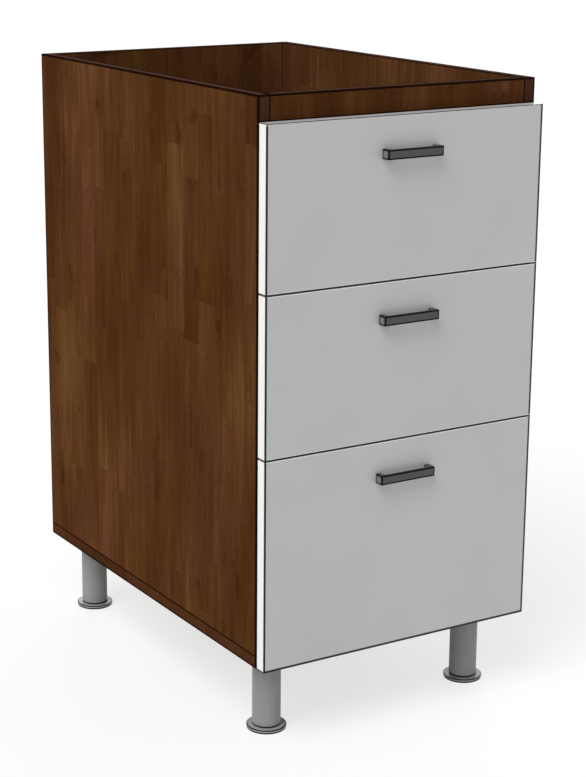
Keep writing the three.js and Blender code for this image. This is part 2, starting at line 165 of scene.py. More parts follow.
trial = Tree(bpy.data.node_groups.new("trial", "ShaderNodeTree"))
doubled = trial.add("ShaderNodeValue") * 2 + 1
print("a product and a sum take", len(trial.tree.nodes) - 1, "Math nodes")
bpy.data.node_groups.remove(trial.tree)

# %% [markdown]
# ## A finish
#
# Every finish on the cabinet is one Principled shader. What is the same all over, such as how
# metallic it is, is set on the shader itself. What varies, such as colour and roughness, is fed
# by nodes. Places are read from Object coordinates: the parts' objects sit at the origin, so a
# place in the texture is a place on the cabinet, and one board's pattern can be told from its
# neighbour's.

# %% The finish class
class Finish(Tree):
    """A material: a Principled shader, with what varies fed into it."""

    def __init__(self, name, **fixed):
        self.material = bpy.data.materials.new(name)
        self.material.use_nodes = True
        super().__init__(self.material.node_tree)
        self.shader = self.tree.nodes["Principled BSDF"]
        for socket, value in fixed.items():
            self.set(socket.replace("_", " "), value)

    def set(self, socket, value):
        self.feed(self.shader.inputs[socket], value)

    def place(self):
        """The point's X, Y and Z in millimetres."""
        position = self.add("ShaderNodeTexCoord", output="Object")
        return [metres * 1000 for metres in self.split(position)]

    def split(self, vector):
        return self.outputs(self.add("ShaderNodeSeparateXYZ", sockets={0: vector}))

    def noise(self, x, y, z, detail=2.0, distortion=0.0):
        """Cloudy noise about 0.5, whose lumps are about one unit across."""
        vector = self.add("ShaderNodeCombineXYZ", sockets={0: x, 1: y, 2: z})
        sockets = {"Vector": vector, "Scale": 1.0, "Detail": detail, "Distortion": distortion}
        return self.add("ShaderNodeTexNoise", sockets=sockets)

    def lumps(self, place, size, detail=2.0):
        """Cloudy noise whose lumps have a size, or one size along each axis, in millimetres."""
        sizes = size if isinstance(size, tuple) else (size, size, size)
        return self.noise(*(along / each for along, each in zip(place, sizes)), detail)

    def lots(self, coordinate, scatter):
        """Cuts a line into uneven cells about one unit long; gives each three random numbers."""
        settings = {"voronoi_dimensions": "1D"}
        sockets = {"W": coordinate, "Scale": 1.0, "Randomness": scatter}
        return self.split(self.add("ShaderNodeTexVoronoi", settings, sockets, output="Color"))

    def fade(self, value, start, end):
        """0 up to start, 1 from end on, and a soft slope between."""
        settings = {"interpolation_type": "SMOOTHSTEP"}
        return self.add("ShaderNodeMapRange", settings, {0: value, 1: start, 2: end})

    def ramp(self, value, stops):
        coloured = [(position, tone(code)) for position, code in stops]
        return self.add("ShaderNodeValToRGB", {"stops": coloured}, {0: value})

    def blend(self, mask, under, over):
        """One colour over another where the mask is 1."""
        settings = {"data_type": "RGBA"}
        return self.add("ShaderNodeMix", settings, {0: mask, 6: under, 7: over}, output=2)

    def relief(self, height, depth):
        """A bump whose height of 1 stands for a depth in metres."""
        sockets = {"Height": height, "Distance": depth, "Strength": 1.0}
        self.set("Normal", self.add("ShaderNodeBump", sockets=sockets))


trial = Finish("trial")
trial.set("Roughness", trial.lumps(trial.place(), 10))
print("a finish with one noise has", len(trial.tree.nodes), "nodes")
bpy.data.materials.remove(trial.material)

# %% [markdown]
# ## Where a board's edges are
#
# Faced board shows its thickness only at its edges, which are covered with a thin band, and the
# joint between band and face is a fine dark line. Both follow from one measure. For a point on a
# box, take its distances to the nearest face across X, across Y and across Z. One of the three is
# zero, because the point lies on a face. The middle one of the three is then how far the point
# lies from the nearest arris, the edge where two faces meet.

# %% Distances on a board
def inset(place, lowest, highest):
    """A point's distances, in millimetres, from a box's nearest faces across X, Y and Z."""
    depths = []
    for axis in range(3):
        centre = (lowest[axis] + highest[axis]) / 2 / MM
        half = (highest[axis] - lowest[axis]) / 2 / MM
        depths.append(half - abs(place[axis] - centre))
    return depths


def arris_distance(finish, depths):
    """The middle one of three distances."""
    one, two, three = depths
    smaller = finish.least(one, two)
    larger = finish.most(one, two)
    return finish.most(smaller, finish.least(larger, three))


def line_along(finish, distance, width):
    """1 within a width, a number or a Value in millimetres, and 0 beyond it."""
    return 1 - finish.fade(distance, width * 0.8, width * 1.2)


def on_face(finish, distance):
    """1 on a face, and 0 from a third of a millimetre behind it."""
    return 1 - finish.fade(distance, 0.1, 0.3)


def by_size(part):
    """A board's axes, from its thickness to its length."""
    lowest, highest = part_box(part)
    return sorted(range(3), key=lambda axis: highest[axis] - lowest[axis])


thin, _, long = by_size("side_panel_left")
print("a side is thin along", "XYZ"[thin], "and long along", "XYZ"[long])

# %% [markdown]
# ## Walnut staves
#
# The carcase is chipboard faced with a walnut print. The print copies a glued worktop: narrow
# staves side by side, each cut from another plank, so neighbours differ in tone, and each stave's
# grain starts anew. A picture of veneer could be laid on the boards, but it would blur close by
# and repeat from board to board, so a formula draws it. Two rows of uneven cells make the staves.
# The first cuts the board's width into columns. The second cuts each column's length into staves,
# and it is shifted by the column's own random number, so the end joints don't line up.
#
# The tone of a point is a sum of layers, each with its own scale and weight: the stave it is on,
# a slow drift across the board, a cloud as wide as a plank, the figure, the fibres and a fine
# mottle. All but the mottle are drawn out along the grain. Soft knots darken the sum here and
# there, and fine pores are cut through it. The weights are small, because real walnut is quiet:
# what tells it from paint is that no two points are quite alike.
#
# The boards' edges have bands of their own. Where band and face meet there is a dark glue line,
# and stain has gathered in a wider one along the outer edges of the whole carcase. One more dark
# line is painted shade: it lies on the front of the carcase just above the top drawer's front,
# where the gap between them is in shade.

# %% The sizes and colours of walnut
STAVE_WIDTH, STAVE_LENGTH = 40, 230
STAVE_SCATTER, LENGTH_SCATTER = 0.6, 0.9
COLUMN_SHIFT, STAVE_SHIFT = 53, 900
DRIFT_WIDTH, DRIFT_LENGTH = 300, 620
CLOUD_WIDTH, CLOUD_LENGTH = 110, 260
KNOT_WIDTH, KNOT_LENGTH = 36, 60
FIGURE_WIDTH, FIGURE_LENGTH = 13, 170
FIBRE_WIDTH, FIBRE_LENGTH = 2.2, 70
MOTTLE = 5
STAVE_WEIGHT, DRIFT_WEIGHT, CLOUD_WEIGHT, KNOT_WEIGHT = 0.2, 0.5, 0.7, 0.3
FIGURE_WEIGHT, FIBRE_WEIGHT, MOTTLE_WEIGHT = 0.6, 0.2, 0.2
PORE_WIDTH, PORE_LENGTH = 0.5, 12
PORE_DEPTH = 0.05 * MM
DRIFT_SEED, WARMTH_SEED, KNOT_SEED = 20, 40, 80
FIGURE_JUMP, FIBRE_JUMP, PORE_JUMP = 60, 90, 70
KNOT_STARTS, KNOT_FULL = 0.6, 0.8
PORE_STARTS, PORE_FULL = 0.62, 0.72
CLOUD_WARMTH, STAVE_WARMTH = 1.4, 0.35
RED_WALNUT = [(0.0, "341c0e"), (0.35, "452614"), (0.6, "54321f"), (1.0, "714931")]
OCHRE_WALNUT = [(0.0, "33200b"), (0.35, "452911"), (0.6, "533619"), (1.0, "6f502d")]
BAND_THICKNESS = 0.8
BAND_STREAK = (60, 1.4)
BAND_TONES = [(0.3, "3b231a"), (0.7, "492d20")]
END_TONES = [(0.3, "453027"), (0.7, "4f382f")]
GLUE_LINE, END_GLUE_LINE, CARCASE_LINE = 1.0, 3.5, 2.5
GAP_SHADE_LINE = 1.4
GLUE_TONE = "120804"
LINE_STRENGTH = 0.92
print("staves are about", STAVE_WIDTH, "mm wide and", STAVE_LENGTH, "mm long")


# %% Staves, grain and pores
def walnut_face(finish, run, across, tone_and_painted_light, seed):
    """The face's colour, and the fibres and pores in it, from places along and across the grain."""
    column_pick = finish.lots(across / STAVE_WIDTH, STAVE_SCATTER)[0]
    along_column = run / STAVE_LENGTH + column_pick * COLUMN_SHIFT
    light, hue, shift = finish.lots(along_column, LENGTH_SCATTER)

    own = across + shift * STAVE_SHIFT
    drift = finish.noise(across / DRIFT_WIDTH, run / DRIFT_LENGTH, seed + DRIFT_SEED, 1.0)
    cloud = finish.noise(across / CLOUD_WIDTH, run / CLOUD_LENGTH, seed, 2.0)
    warmth = finish.noise(across / CLOUD_WIDTH, run / CLOUD_LENGTH, seed + WARMTH_SEED, 2.0)
    knots = finish.noise(across / KNOT_WIDTH, run / KNOT_LENGTH, seed + KNOT_SEED)
    knot = finish.fade(knots, KNOT_STARTS, KNOT_FULL)
    figure = finish.noise(own / FIGURE_WIDTH, run / FIGURE_LENGTH, hue * FIGURE_JUMP, 3.0, 0.9)
    fibre = finish.noise(own / FIBRE_WIDTH, run / FIBRE_LENGTH, hue * FIBRE_JUMP, 3.0)
    mottle = finish.noise(own / MOTTLE, run / MOTTLE, seed, 3.0)
    pores = finish.noise(own / PORE_WIDTH, run / PORE_LENGTH, shift * PORE_JUMP, 1.0)
    pitted = finish.fade(pores, PORE_STARTS, PORE_FULL)

    layers = [
        (light, STAVE_WEIGHT), (drift, DRIFT_WEIGHT), (cloud, CLOUD_WEIGHT),
        (figure, FIGURE_WEIGHT), (fibre, FIBRE_WEIGHT), (mottle, MOTTLE_WEIGHT),
    ]
    summed = sum(((layer - 0.5) * weight for layer, weight in layers), 0.5 + tone_and_painted_light)
    depth = summed - knot * KNOT_WEIGHT
    warmer = (warmth - 0.5) * CLOUD_WARMTH + (hue - 0.5) * STAVE_WARMTH
    redness = finish.fade(warmer, -0.4, 0.4)
    face = finish.blend(redness, finish.ramp(depth, OCHRE_WALNUT), finish.ramp(depth, RED_WALNUT))
    return finish.blend(pitted * 0.3, face, tone(GLUE_TONE)), fibre, pitted


trial = Finish("trial")
run, across, _ = trial.place()
walnut_face(trial, run, across, 0.0, 0)
print("the face of a walnut board takes", len(trial.tree.nodes), "nodes")
bpy.data.materials.remove(trial.material)


# %% The walnut finish
def walnut(part, grain, tone_and_painted_light, banding, seed):
    """Walnut for one board, whose staves lie along the grain's axis."""
    finish = Finish("walnut_" + part, Specular_IOR_Level=0.0)
    place = finish.place()
    thin = by_size(part)[0]
    wide = 3 - thin - grain
    across = place[wide] + seed
    face, fibre, pitted = walnut_face(finish, place[grain], across, tone_and_painted_light, seed)

    depths = inset(place, *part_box(part))
    level, through = BAND_STREAK
    streaks = finish.noise(place[grain] / level, place[wide] / level, place[thin] / through, 3.0)
    edge = (1 - finish.fade(depths[wide], 0.1, BAND_THICKNESS)) * banding
    end = 1 - finish.fade(depths[grain], 0.1, BAND_THICKNESS)
    colour = finish.blend(edge, face, finish.ramp(streaks, BAND_TONES))
    colour = finish.blend(end, colour, finish.ramp(streaks, END_TONES))
    nearness = arris_distance(finish, depths)
    glue = line_along(finish, nearness, GLUE_LINE)
    end_glue = line_along(finish, nearness, END_GLUE_LINE) * end
    carcase = inset(place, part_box("bottom_panel")[0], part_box("side_panel_right")[1])
    outer = line_along(finish, arris_distance(finish, carcase), CARCASE_LINE)
    front_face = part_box("front_rail")[0].y / MM
    front_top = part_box("drawer_front_top")[1].z / MM
    # Painted shade: a dark line on the rail's face just above the top drawer's front.
    gap_shade = line_along(finish, abs(place[2] - front_top - GAP_SHADE_LINE / 2), GAP_SHADE_LINE / 2)
    gap_shade = gap_shade * on_face(finish, place[1] - front_face)
    lines = finish.most(finish.most(outer, gap_shade), finish.most(glue, end_glue)) * LINE_STRENGTH

    finish.set("Base Color", finish.blend(lines, colour, tone(GLUE_TONE)))
    finish.set("Roughness", 0.52 + pitted * 0.2 + (fibre - 0.5) * 0.15)
    finish.relief(fibre * 0.4 - pitted, PORE_DEPTH)
    return finish


print("a board's bands are", BAND_THICKNESS, "mm thick, its glue lines", GLUE_LINE, "mm wide")

# %% [markdown]
# ## Laminate fronts
#
# The fronts are light grey laminate on chipboard. Their upright edges have white bands and their
# level edges grey ones. The bands' colours are partly painted light and shade: the white of the
# upright edges stands partly for sides lit brighter than the face, and the grey of the level edges
# is painted shade, which also darkens the gaps between fronts. A laminate sheet is grey only in its
# top layer. Its core is dark paper, and where the sheet is trimmed, the core shows as a black line:
# a hair's breadth along the narrow gaps between two fronts, and wider round the outside of the
# whole stack, where the arris is scraped down further. It is thinner along the top, and widest at
# the right and at the bottom, where the scraper ended its stroke. A line has no thickness, so it
# needs
# no shape of its own: a formula over the distance from an arris draws it, and follows a front that
# is resized.

# %% The front's finish
FRONT_TONES = [(0.2, "b0b0b0"), (0.8, "b8b8b8")]
# The white upright band is partly painted light; the grey level band is painted shade.
FRONT_BAND = "e4e4e3"
LEVEL_BAND_PAINTED_SHADE = "aeaeae"
FRONT_BAND_DEPTH = 1.0
FRONT_CLOUD, FRONT_FLECK = 90, 0.6
CORE_TONE = "0c0c0c"
CORE_LINE, TOP_LINE, TRIM_LINE, LAST_LINE = 1.9, 0.9, 0.4, 3.3
ORANGE_PEEL = 0.9
ORANGE_PEEL_DEPTH = 0.006 * MM


def front_laminate(part):
    """Grey laminate with white and grey bands, partly painted light and shade, and the core's line
    round the stack.
    """
    finish = Finish("laminate_" + part, Specular_IOR_Level=0.3)
    place = finish.place()
    depths = inset(place, *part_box(part))
    rim = finish.least(depths[0], depths[2])
    banded = 1 - finish.fade(rim, FRONT_BAND_DEPTH * 0.9, FRONT_BAND_DEPTH * 1.1)
    level = on_face(finish, depths[2])
    # Painted shade on the level edges, which also darkens the gaps; the white upright edges are
    # partly painted light.
    band = finish.blend(level, tone(FRONT_BAND), tone(LEVEL_BAND_PAINTED_SHADE))
    lowest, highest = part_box("drawer_front_bottom")[0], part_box("drawer_front_top")[1]
    around = arris_distance(finish, inset(place, lowest, highest))
    below_top = finish.fade(highest.z / MM - place[2], TOP_LINE, CORE_LINE * 2)
    scraped = line_along(finish, around, TOP_LINE + below_top * (CORE_LINE - TOP_LINE))
    trimmed = line_along(finish, arris_distance(finish, depths), TRIM_LINE)
    last = finish.least(highest.x / MM - place[0], place[2] - lowest.z / MM)
    last_stroke = line_along(finish, last, LAST_LINE) * on_face(finish, place[1] - lowest.y / MM)
    line = finish.most(finish.most(trimmed, scraped), last_stroke)

    cloud = finish.lumps(place, FRONT_CLOUD, 3.0)
    fleck = finish.lumps(place, FRONT_FLECK)
    grey = finish.ramp(cloud * 0.7 + fleck * 0.3, FRONT_TONES)
    colour = finish.blend(banded, grey, band)
    finish.set("Base Color", finish.blend(line, colour, tone(CORE_TONE)))
    finish.set("Roughness", 0.42 + (cloud - 0.5) * 0.12 + (fleck - 0.5) * 0.1)
    finish.relief(finish.lumps(place, ORANGE_PEEL), ORANGE_PEEL_DEPTH)
    return finish


print("the core line is", CORE_LINE, "mm wide, and", LAST_LINE, "mm where the scraper stops")

# %% [markdown]
# ## White boxes, brown backs
#
# The drawer boxes are plain white faced board, with thin bands on the edges that show. Their
# bottoms and the cabinet's back are hardboard: pressed wood fibre, faced on the side that shows
# and left brown and fibrous on the other. Single fibres could be scattered as geometry, but even
# close by they are only a texture, so they are noise drawn out in two directions.

# %% The box's and the back's finishes
BOX_TONES = [(0.3, "d9d7d1"), (0.7, "e2e0da")]
BOX_JOINT = "8d8a84"
BOX_JOINT_LINE = 0.5
BOX_CLOUD, BOX_FLECK = 120, 0.8
HARDBOARD_TONES = [(0.3, "4a3220"), (0.7, "6e5038")]
FACE_TONES = [(0.3, "4b2f1a"), (0.7, "5a3a22")]
STRAND_WIDTH, STRAND_LENGTH = 0.7, 5
BACK_CLOUD = 70
FIBRE_DEPTH = 0.04 * MM


def box_board(part):
    """White faced board, with a faint joint along each arris."""
    finish = Finish("faced_" + part, Specular_IOR_Level=0.35)
    place = finish.place()
    nearness = arris_distance(finish, inset(place, *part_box(part)))
    joint = line_along(finish, nearness, BOX_JOINT_LINE)
    fleck = finish.lumps(place, BOX_FLECK)
    cloud = finish.lumps(place, BOX_CLOUD)
    white = finish.ramp(cloud * 0.5 + fleck * 0.5, BOX_TONES)
    finish.set("Base Color", finish.blend(joint * 0.6, white, tone(BOX_JOINT)))
    finish.set("Roughness", 0.45 + (fleck - 0.5) * 0.2)
    finish.relief(fleck, ORANGE_PEEL_DEPTH)
    return finish


def hardboard(part, raw_side, faced_tones):
    """Hardboard whose raw side is its lowest (-1) or its highest (1) face across its thickness."""
    finish = Finish("hardboard_" + part, Specular_IOR_Level=0.1)
    place = finish.place()
    thin, wide, long = by_size(part)
    lowest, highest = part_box(part)
    raw_face = (highest if raw_side > 0 else lowest)[thin] / MM
    raw = 1 - finish.fade(abs(place[thin] - raw_face), 0.2, 0.6)
    sheet = (place[wide], place[long], place[thin])
    along = finish.lumps(sheet, (STRAND_WIDTH, STRAND_LENGTH, 1), 3.0)
    athwart = finish.lumps(sheet, (STRAND_LENGTH, STRAND_WIDTH, 1), 3.0)
    fibres = (along + athwart) / 2
    cloud = finish.lumps(sheet, (BACK_CLOUD, BACK_CLOUD, 1), 3.0)
    brown = finish.ramp(fibres * 0.8 + cloud * 0.2, HARDBOARD_TONES)
    faced = finish.ramp(fibres * 0.3 + cloud * 0.7, faced_tones)
    finish.set("Base Color", finish.blend(raw, faced, brown))
    finish.set("Roughness", 0.6 + raw * 0.2)
    finish.relief(fibres * raw, FIBRE_DEPTH)
    return finish


print("hardboard's fibres stand", round(FIBRE_DEPTH / MM, 3), "mm proud")

# %% [markdown]
# ## Metals and plastic
#
# Zinc-plated steel is a metal with a faint bloom: it is clouded a little blue and yellow, and its
# roughness wanders. The legs are steel tubes in a flat grey paint that was brushed along their
# length, with a black plastic insert at the bottom. Their feet are moulded. The handles are cut
# from an extruded bar: its faces are painted graphite, its ends are painted paler as painted
# light, and the paint is black in a thin line along each arris.
#
# From across a room a plain colour would do for all of these. Close by, the eye tells them apart
# by their grain, so each has noise in its roughness, and a relief of a hundredth of a millimetre
# or two.

# %% Zinc
BLOOM = 30
DRAWN = (0.8, 60, 0.8)
DRAWN_DEPTH = 0.008 * MM


def zinc(name, low="aeb1b5", high="bdbdb9"):
    """Zinc-plated steel that was drawn along Y."""
    finish = Finish(name, Metallic=0.9)
    place = finish.place()
    cloud = finish.lumps(place, BLOOM)
    drag = finish.lumps(place, DRAWN)
    finish.set("Base Color", finish.ramp(cloud, [(0.3, low), (0.7, high)]))
    finish.set("Roughness", 0.36 + (cloud - 0.5) * 0.12 + (drag - 0.5) * 0.12)
    finish.relief(drag, DRAWN_DEPTH)
    return finish


print("zinc blooms in clouds", BLOOM, "mm across")

# %% The finishes of the legs
TUBE_END = 7.3
SOLE_TOP = 2.2
MOULD_LINE = (3.8, 4.98)
DARK_PLASTIC = "0d0d0d"
FOOT_TONES = [(0.3, "929292"), (0.7, "9a9a9a")]
BRUSHED, BRUSH_DEPTH = (0.35, 0.35, 45), 0.01 * MM
PAINT_CLOUD = (15, 15, 25)
FOOT_GRIT, FOOT_CLOUD, FOOT_GRIT_DEPTH = 0.3, 12, 0.012 * MM


def leg_finish(name, dark, light, dark_end):
    """Flat grey paint, brushed along Z, with black plastic up to a height."""
    finish = Finish(name, Specular_IOR_Level=0.1)
    place = finish.place()
    lines = finish.lumps(place, BRUSHED)
    cloud = finish.lumps(place, PAINT_CLOUD, 3.0)
    paint = finish.ramp(lines * 0.5 + cloud * 0.5, [(0.3, dark), (0.7, light)])
    plastic = 1 - finish.fade(place[2], dark_end - 0.05, dark_end + 0.05)
    finish.set("Base Color", finish.blend(plastic, paint, tone(DARK_PLASTIC)))
    finish.set("Roughness", 0.42 + (lines - 0.5) * 0.25)
    finish.relief(lines, BRUSH_DEPTH)
    return finish


def foot_finish():
    """Grey plastic on a black sole, with a dark line where the mould parts, under the arris."""
    finish = Finish("foot_plastic", Specular_IOR_Level=0.12)
    place = finish.place()
    grit = finish.lumps(place, FOOT_GRIT)
    cloud = finish.lumps(place, FOOT_CLOUD)
    sole = 1 - finish.fade(place[2], SOLE_TOP - 0.1, SOLE_TOP)
    above = finish.fade(place[2], MOULD_LINE[0] - 0.1, MOULD_LINE[0])
    below = 1 - finish.fade(place[2], MOULD_LINE[1] - 0.02, MOULD_LINE[1])
    grey = finish.ramp(cloud, FOOT_TONES)
    lined = finish.blend(finish.most(sole, above * below), grey, tone(DARK_PLASTIC))
    finish.set("Base Color", lined)
    finish.set("Roughness", 0.4 + (grit - 0.5) * 0.25)
    finish.relief(grit, FOOT_GRIT_DEPTH)
    return finish


print("a leg is black plastic for", TUBE_END, "mm, and a foot's sole for", SOLE_TOP, "mm")

# %% Graphite paint and moulded plastic
GRAPHITE_TONES = [(0.3, "4b4b4b"), (0.7, "535353")]
GRAPHITE_LIT_END = "787878"
GRAPHITE_ARRIS = "020202"
GRAPHITE_LINE = 2.0
GRAPHITE_GRIT, GRAPHITE_DEPTH = 0.5, 0.02 * MM
SPARK, SPARK_DEPTH = 0.25, 0.01 * MM


def graphite(part):
    """Graphite paint with paler ends that are painted light, and a black line along each arris."""
    finish = Finish("graphite_" + part, Specular_IOR_Level=0.06)
    place = finish.place()
    depths = inset(place, *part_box(part))
    grit = finish.lumps(place, GRAPHITE_GRIT, 3.0)
    arris = line_along(finish, arris_distance(finish, depths), GRAPHITE_LINE)
    # Painted light: both ends of the bar are painted paler than its faces.
    painted_lit_end = on_face(finish, depths[0])
    paint = finish.ramp(grit, GRAPHITE_TONES)
    paint = finish.blend(painted_lit_end * (0.8 + (grit - 0.5) * 0.4), paint, tone(GRAPHITE_LIT_END))
    finish.set("Base Color", finish.blend(arris * 0.95, paint, tone(GRAPHITE_ARRIS)))
    finish.set("Roughness", 0.42 + (grit - 0.5) * 0.3)
    finish.relief(grit, GRAPHITE_DEPTH)
    return finish


def moulded(name, colour, roughness):
    """A moulded plastic, finely spark-eroded."""
    finish = Finish(name, Specular_IOR_Level=0.4)
    place = finish.place()
    grit = finish.lumps(place, SPARK)
    finish.set("Base Color", tone(colour))
    finish.set("Roughness", roughness + (grit - 0.5) * 0.2)
    finish.relief(grit, SPARK_DEPTH)
    return finish


print("a handle's arrises are black for", GRAPHITE_LINE, "mm")

# %% [markdown]
# ## Dress the parts
#
# Each part of the model now gets its finish. One walnut for the whole carcase would be simplest,
# but then the staves would run on from board to board, and the dark lines would have no edges to
# follow. So each board has a finish of its own, made by one function from the board's box, the
# axis of its grain, how much darker or lighter it is, how much of its band's colour shows, and a
# seed. How dark a board is comes partly from the print and is partly painted light and shade: the
# front rail is painted darker and the right side and the rear rail lighter, for how light falls on
# them. Rolled and painted parts have no figure to tell them apart, so they share one finish.

# %% Dress the model's parts
def dress(part, finish):
    """Gives a part of the model its finish."""
    for slot in nodes[part].material_slots:
        slot.material = finish.material


DRAWERS = ("top", "middle", "bottom")
SIDES = ("left", "right")
INWARD = {"left": 1.0, "right": -1.0}
BOARD_SEED = 1370
# Grain axis, tone and band share. The tone is partly the print's and partly painted light and
# shade: darker on the front rail, lighter on the right side and the rear rail.
CARCASE = {
    "side_panel_left": (2, 0.0, 1.0),
    "side_panel_right": (2, 0.08, 1.0),
    "bottom_panel": (1, -0.05, 0.35),
    "front_rail": (2, -0.07, 1.0),
    "rear_rail": (2, 0.08, 1.0),
}
slide_zinc = zinc("slide_zinc")
leg_paint = leg_finish("leg_paint", "868686", "909090", TUBE_END)
for number, (part, (grain, tone_and_painted_light, banding)) in enumerate(CARCASE.items()):
    dress(part, walnut(part, grain, tone_and_painted_light, banding, BOARD_SEED * number))
dress("back_panel", hardboard("back_panel", 1, FACE_TONES))
for drawer in DRAWERS:
    dress("drawer_front_" + drawer, front_laminate("drawer_front_" + drawer))
    dress("box_bottom_" + drawer, hardboard("box_bottom_" + drawer, -1, BOX_TONES))
    for board in ("box_front_", "box_back_", "box_side_left_", "box_side_right_"):
        dress(board + drawer, box_board(board + drawer))
    for side in SIDES:
        for member in ("outer", "middle", "inner"):
            dress(f"slide_{member}_{side}_{drawer}", slide_zinc)
LEGS = [f"{row}_{side}" for row in ("front", "rear") for side in SIDES]
for leg in LEGS:
    dress("leg_plate_" + leg, leg_paint)
print(len(bpy.data.materials), "finishes so far, for", len(nodes), "parts")

# %% [markdown]
# ## Soft arrises
#
# No board is as sharp as a drawing: its band is scraped to a small round. The model's parts stay
# as they are, and a Weld and a Bevel modifier round them as they are shown. The weld comes first,
# because the model's triangles are loose, and a bevel needs faces that share their edges.

# %% Round the boards' arrises
ARRIS_ROUND = 0.4 * MM
ARRIS_ANGLE = math.radians(60)
SEAM = 0.01 * MM


def soften(part, width):
    """Rounds a board's arrises where it is shown."""
    weld = nodes[part].modifiers.new("weld", "WELD")
    weld.merge_threshold = SEAM
    bevel = nodes[part].modifiers.new("arris", "BEVEL")
    bevel.width = width
    bevel.segments = 2
    bevel.limit_method = "ANGLE"
    bevel.angle_limit = ARRIS_ANGLE
    bevel.use_clamp_overlap = True


for part in CARCASE:
    soften(part, ARRIS_ROUND)
print(len(CARCASE), "boards rounded by", round(ARRIS_ROUND / MM, 1), "mm")

# %% [markdown]
# ## Pieces made by a pattern
#
# Screws, balls and pads repeat, so Geometry Nodes make them. Each pattern is a tree with named
# sizes as its inputs, and it runs on a mesh that holds nothing but starting points. Its last
# steps are always Realize Instances and Set Material, so that what comes out is an ordinary
# mesh. `grow` runs a pattern, keeps that mesh as a new piece and throws the modifier away.

# %% Patterns
SHARP_EDGE = math.radians(30)


class Pattern(Tree):
    """A Geometry Nodes tree with named sizes, run on a mesh of starting points."""

    def __init__(self, name, **sizes):
        super().__init__(bpy.data.node_groups.new(name, "GeometryNodeTree"))
        self.name = name
        face = self.tree.interface
        face.new_socket("Points", in_out="INPUT", socket_type="NodeSocketGeometry")
        face.new_socket("Mesh", in_out="OUTPUT", socket_type="NodeSocketGeometry")
        kinds = {float: "NodeSocketFloat", int: "NodeSocketInt", tuple: "NodeSocketVector"}
        self.sockets = {}
        for size, value in sizes.items():
            socket = face.new_socket(size, in_out="INPUT", socket_type=kinds[type(value)])
            socket.default_value = value
            self.sockets[size] = socket.identifier
        entry = self.tree.nodes.new("NodeGroupInput")
        self.points, *values = [Value(self, socket) for socket in entry.outputs][:-1]
        self.sizes = dict(zip(sizes, values))

    def join(self, *shapes):
        joined = self.add("GeometryNodeJoinGeometry")
        for shape in reversed(shapes):
            self.tree.links.new(shape.socket, joined.socket.node.inputs[0])
        return joined

    def vector(self, x=0.0, y=0.0, z=0.0):
        return self.add("ShaderNodeCombineXYZ", sockets={0: x, 1: y, 2: z})

    def moved(self, shape, x=0.0, y=0.0, z=0.0):
        sockets = {"Geometry": shape, "Translation": self.vector(x, y, z)}
        return self.add("GeometryNodeTransform", sockets=sockets)

    def rod(self, radius, length, sides):
        """A closed rod that stands on the origin."""
        sockets = {"Vertices": sides, "Radius": radius, "Depth": length}
        rod = self.add("GeometryNodeMeshCylinder", {"fill_type": "NGON"}, sockets)
        return self.moved(rod, z=length / 2)

    def block(self, width, depth, height):
        return self.add("GeometryNodeMeshCube", sockets={"Size": self.vector(width, depth, height)})

    def boolean(self, operation, first, second):
        node = self.add("GeometryNodeMeshBoolean", {"operation": operation, "solver": "EXACT"})
        inputs = node.socket.node.inputs
        self.tree.links.new(first.socket, inputs[0 if operation == "DIFFERENCE" else 1])
        self.tree.links.new(second.socket, inputs[1])
        return node

    def position(self):
        return self.add("GeometryNodeInputPosition")

    def index(self):
        return self.add("GeometryNodeInputIndex")

    def placed(self, shape, position):
        sockets = {"Geometry": shape, "Position": position}
        return self.add("GeometryNodeSetPosition", sockets=sockets)

    def welded(self, shape):
        sockets = {"Geometry": shape, "Distance": SEAM}
        return self.add("GeometryNodeMergeByDistance", sockets=sockets)

    def on_points(self, points, shape, **more):
        """The shape on each of the points."""
        sockets = {"Points": points, "Instance": shape, **more}
        return self.add("GeometryNodeInstanceOnPoints", sockets=sockets)

    def aimed(self, facing):
        """The turn that points Z in a direction."""
        sockets = {"Vector": facing}
        return self.add("FunctionNodeAlignRotationToVector", {"axis": "Z"}, sockets)

    def end(self, shape, finish):
        """Realises what was made, smooths it except at sharp edges, and gives it its finish."""
        real = self.add("GeometryNodeRealizeInstances", sockets={0: shape})
        angle = self.add("GeometryNodeInputMeshEdgeAngle")
        crease = self.math("GREATER_THAN", angle, SHARP_EDGE)
        round_faces = self.add("GeometryNodeSetShadeSmooth", {"domain": "FACE"}, {0: real, 2: True})
        sockets = {0: round_faces, 1: crease, 2: False}
        creased = self.add("GeometryNodeSetShadeSmooth", {"domain": "EDGE"}, sockets)
        sockets = {"Geometry": creased, "Material": finish.material}
        done = self.add("GeometryNodeSetMaterial", sockets=sockets)
        leave = self.tree.nodes.new("NodeGroupOutput")
        self.feed(leave.inputs[0], done)


trial = Pattern("trial", Radius=5 * MM)
rod = trial.rod(trial.sizes["Radius"], 20 * MM, 12)
print("a pattern that is one rod has", len(trial.tree.nodes), "nodes")
bpy.data.node_groups.remove(trial.tree)


# %% Grow a piece from a pattern
def link(piece):
    """Puts an object in the scene."""
    bpy.context.scene.collection.objects.link(piece)
    return piece


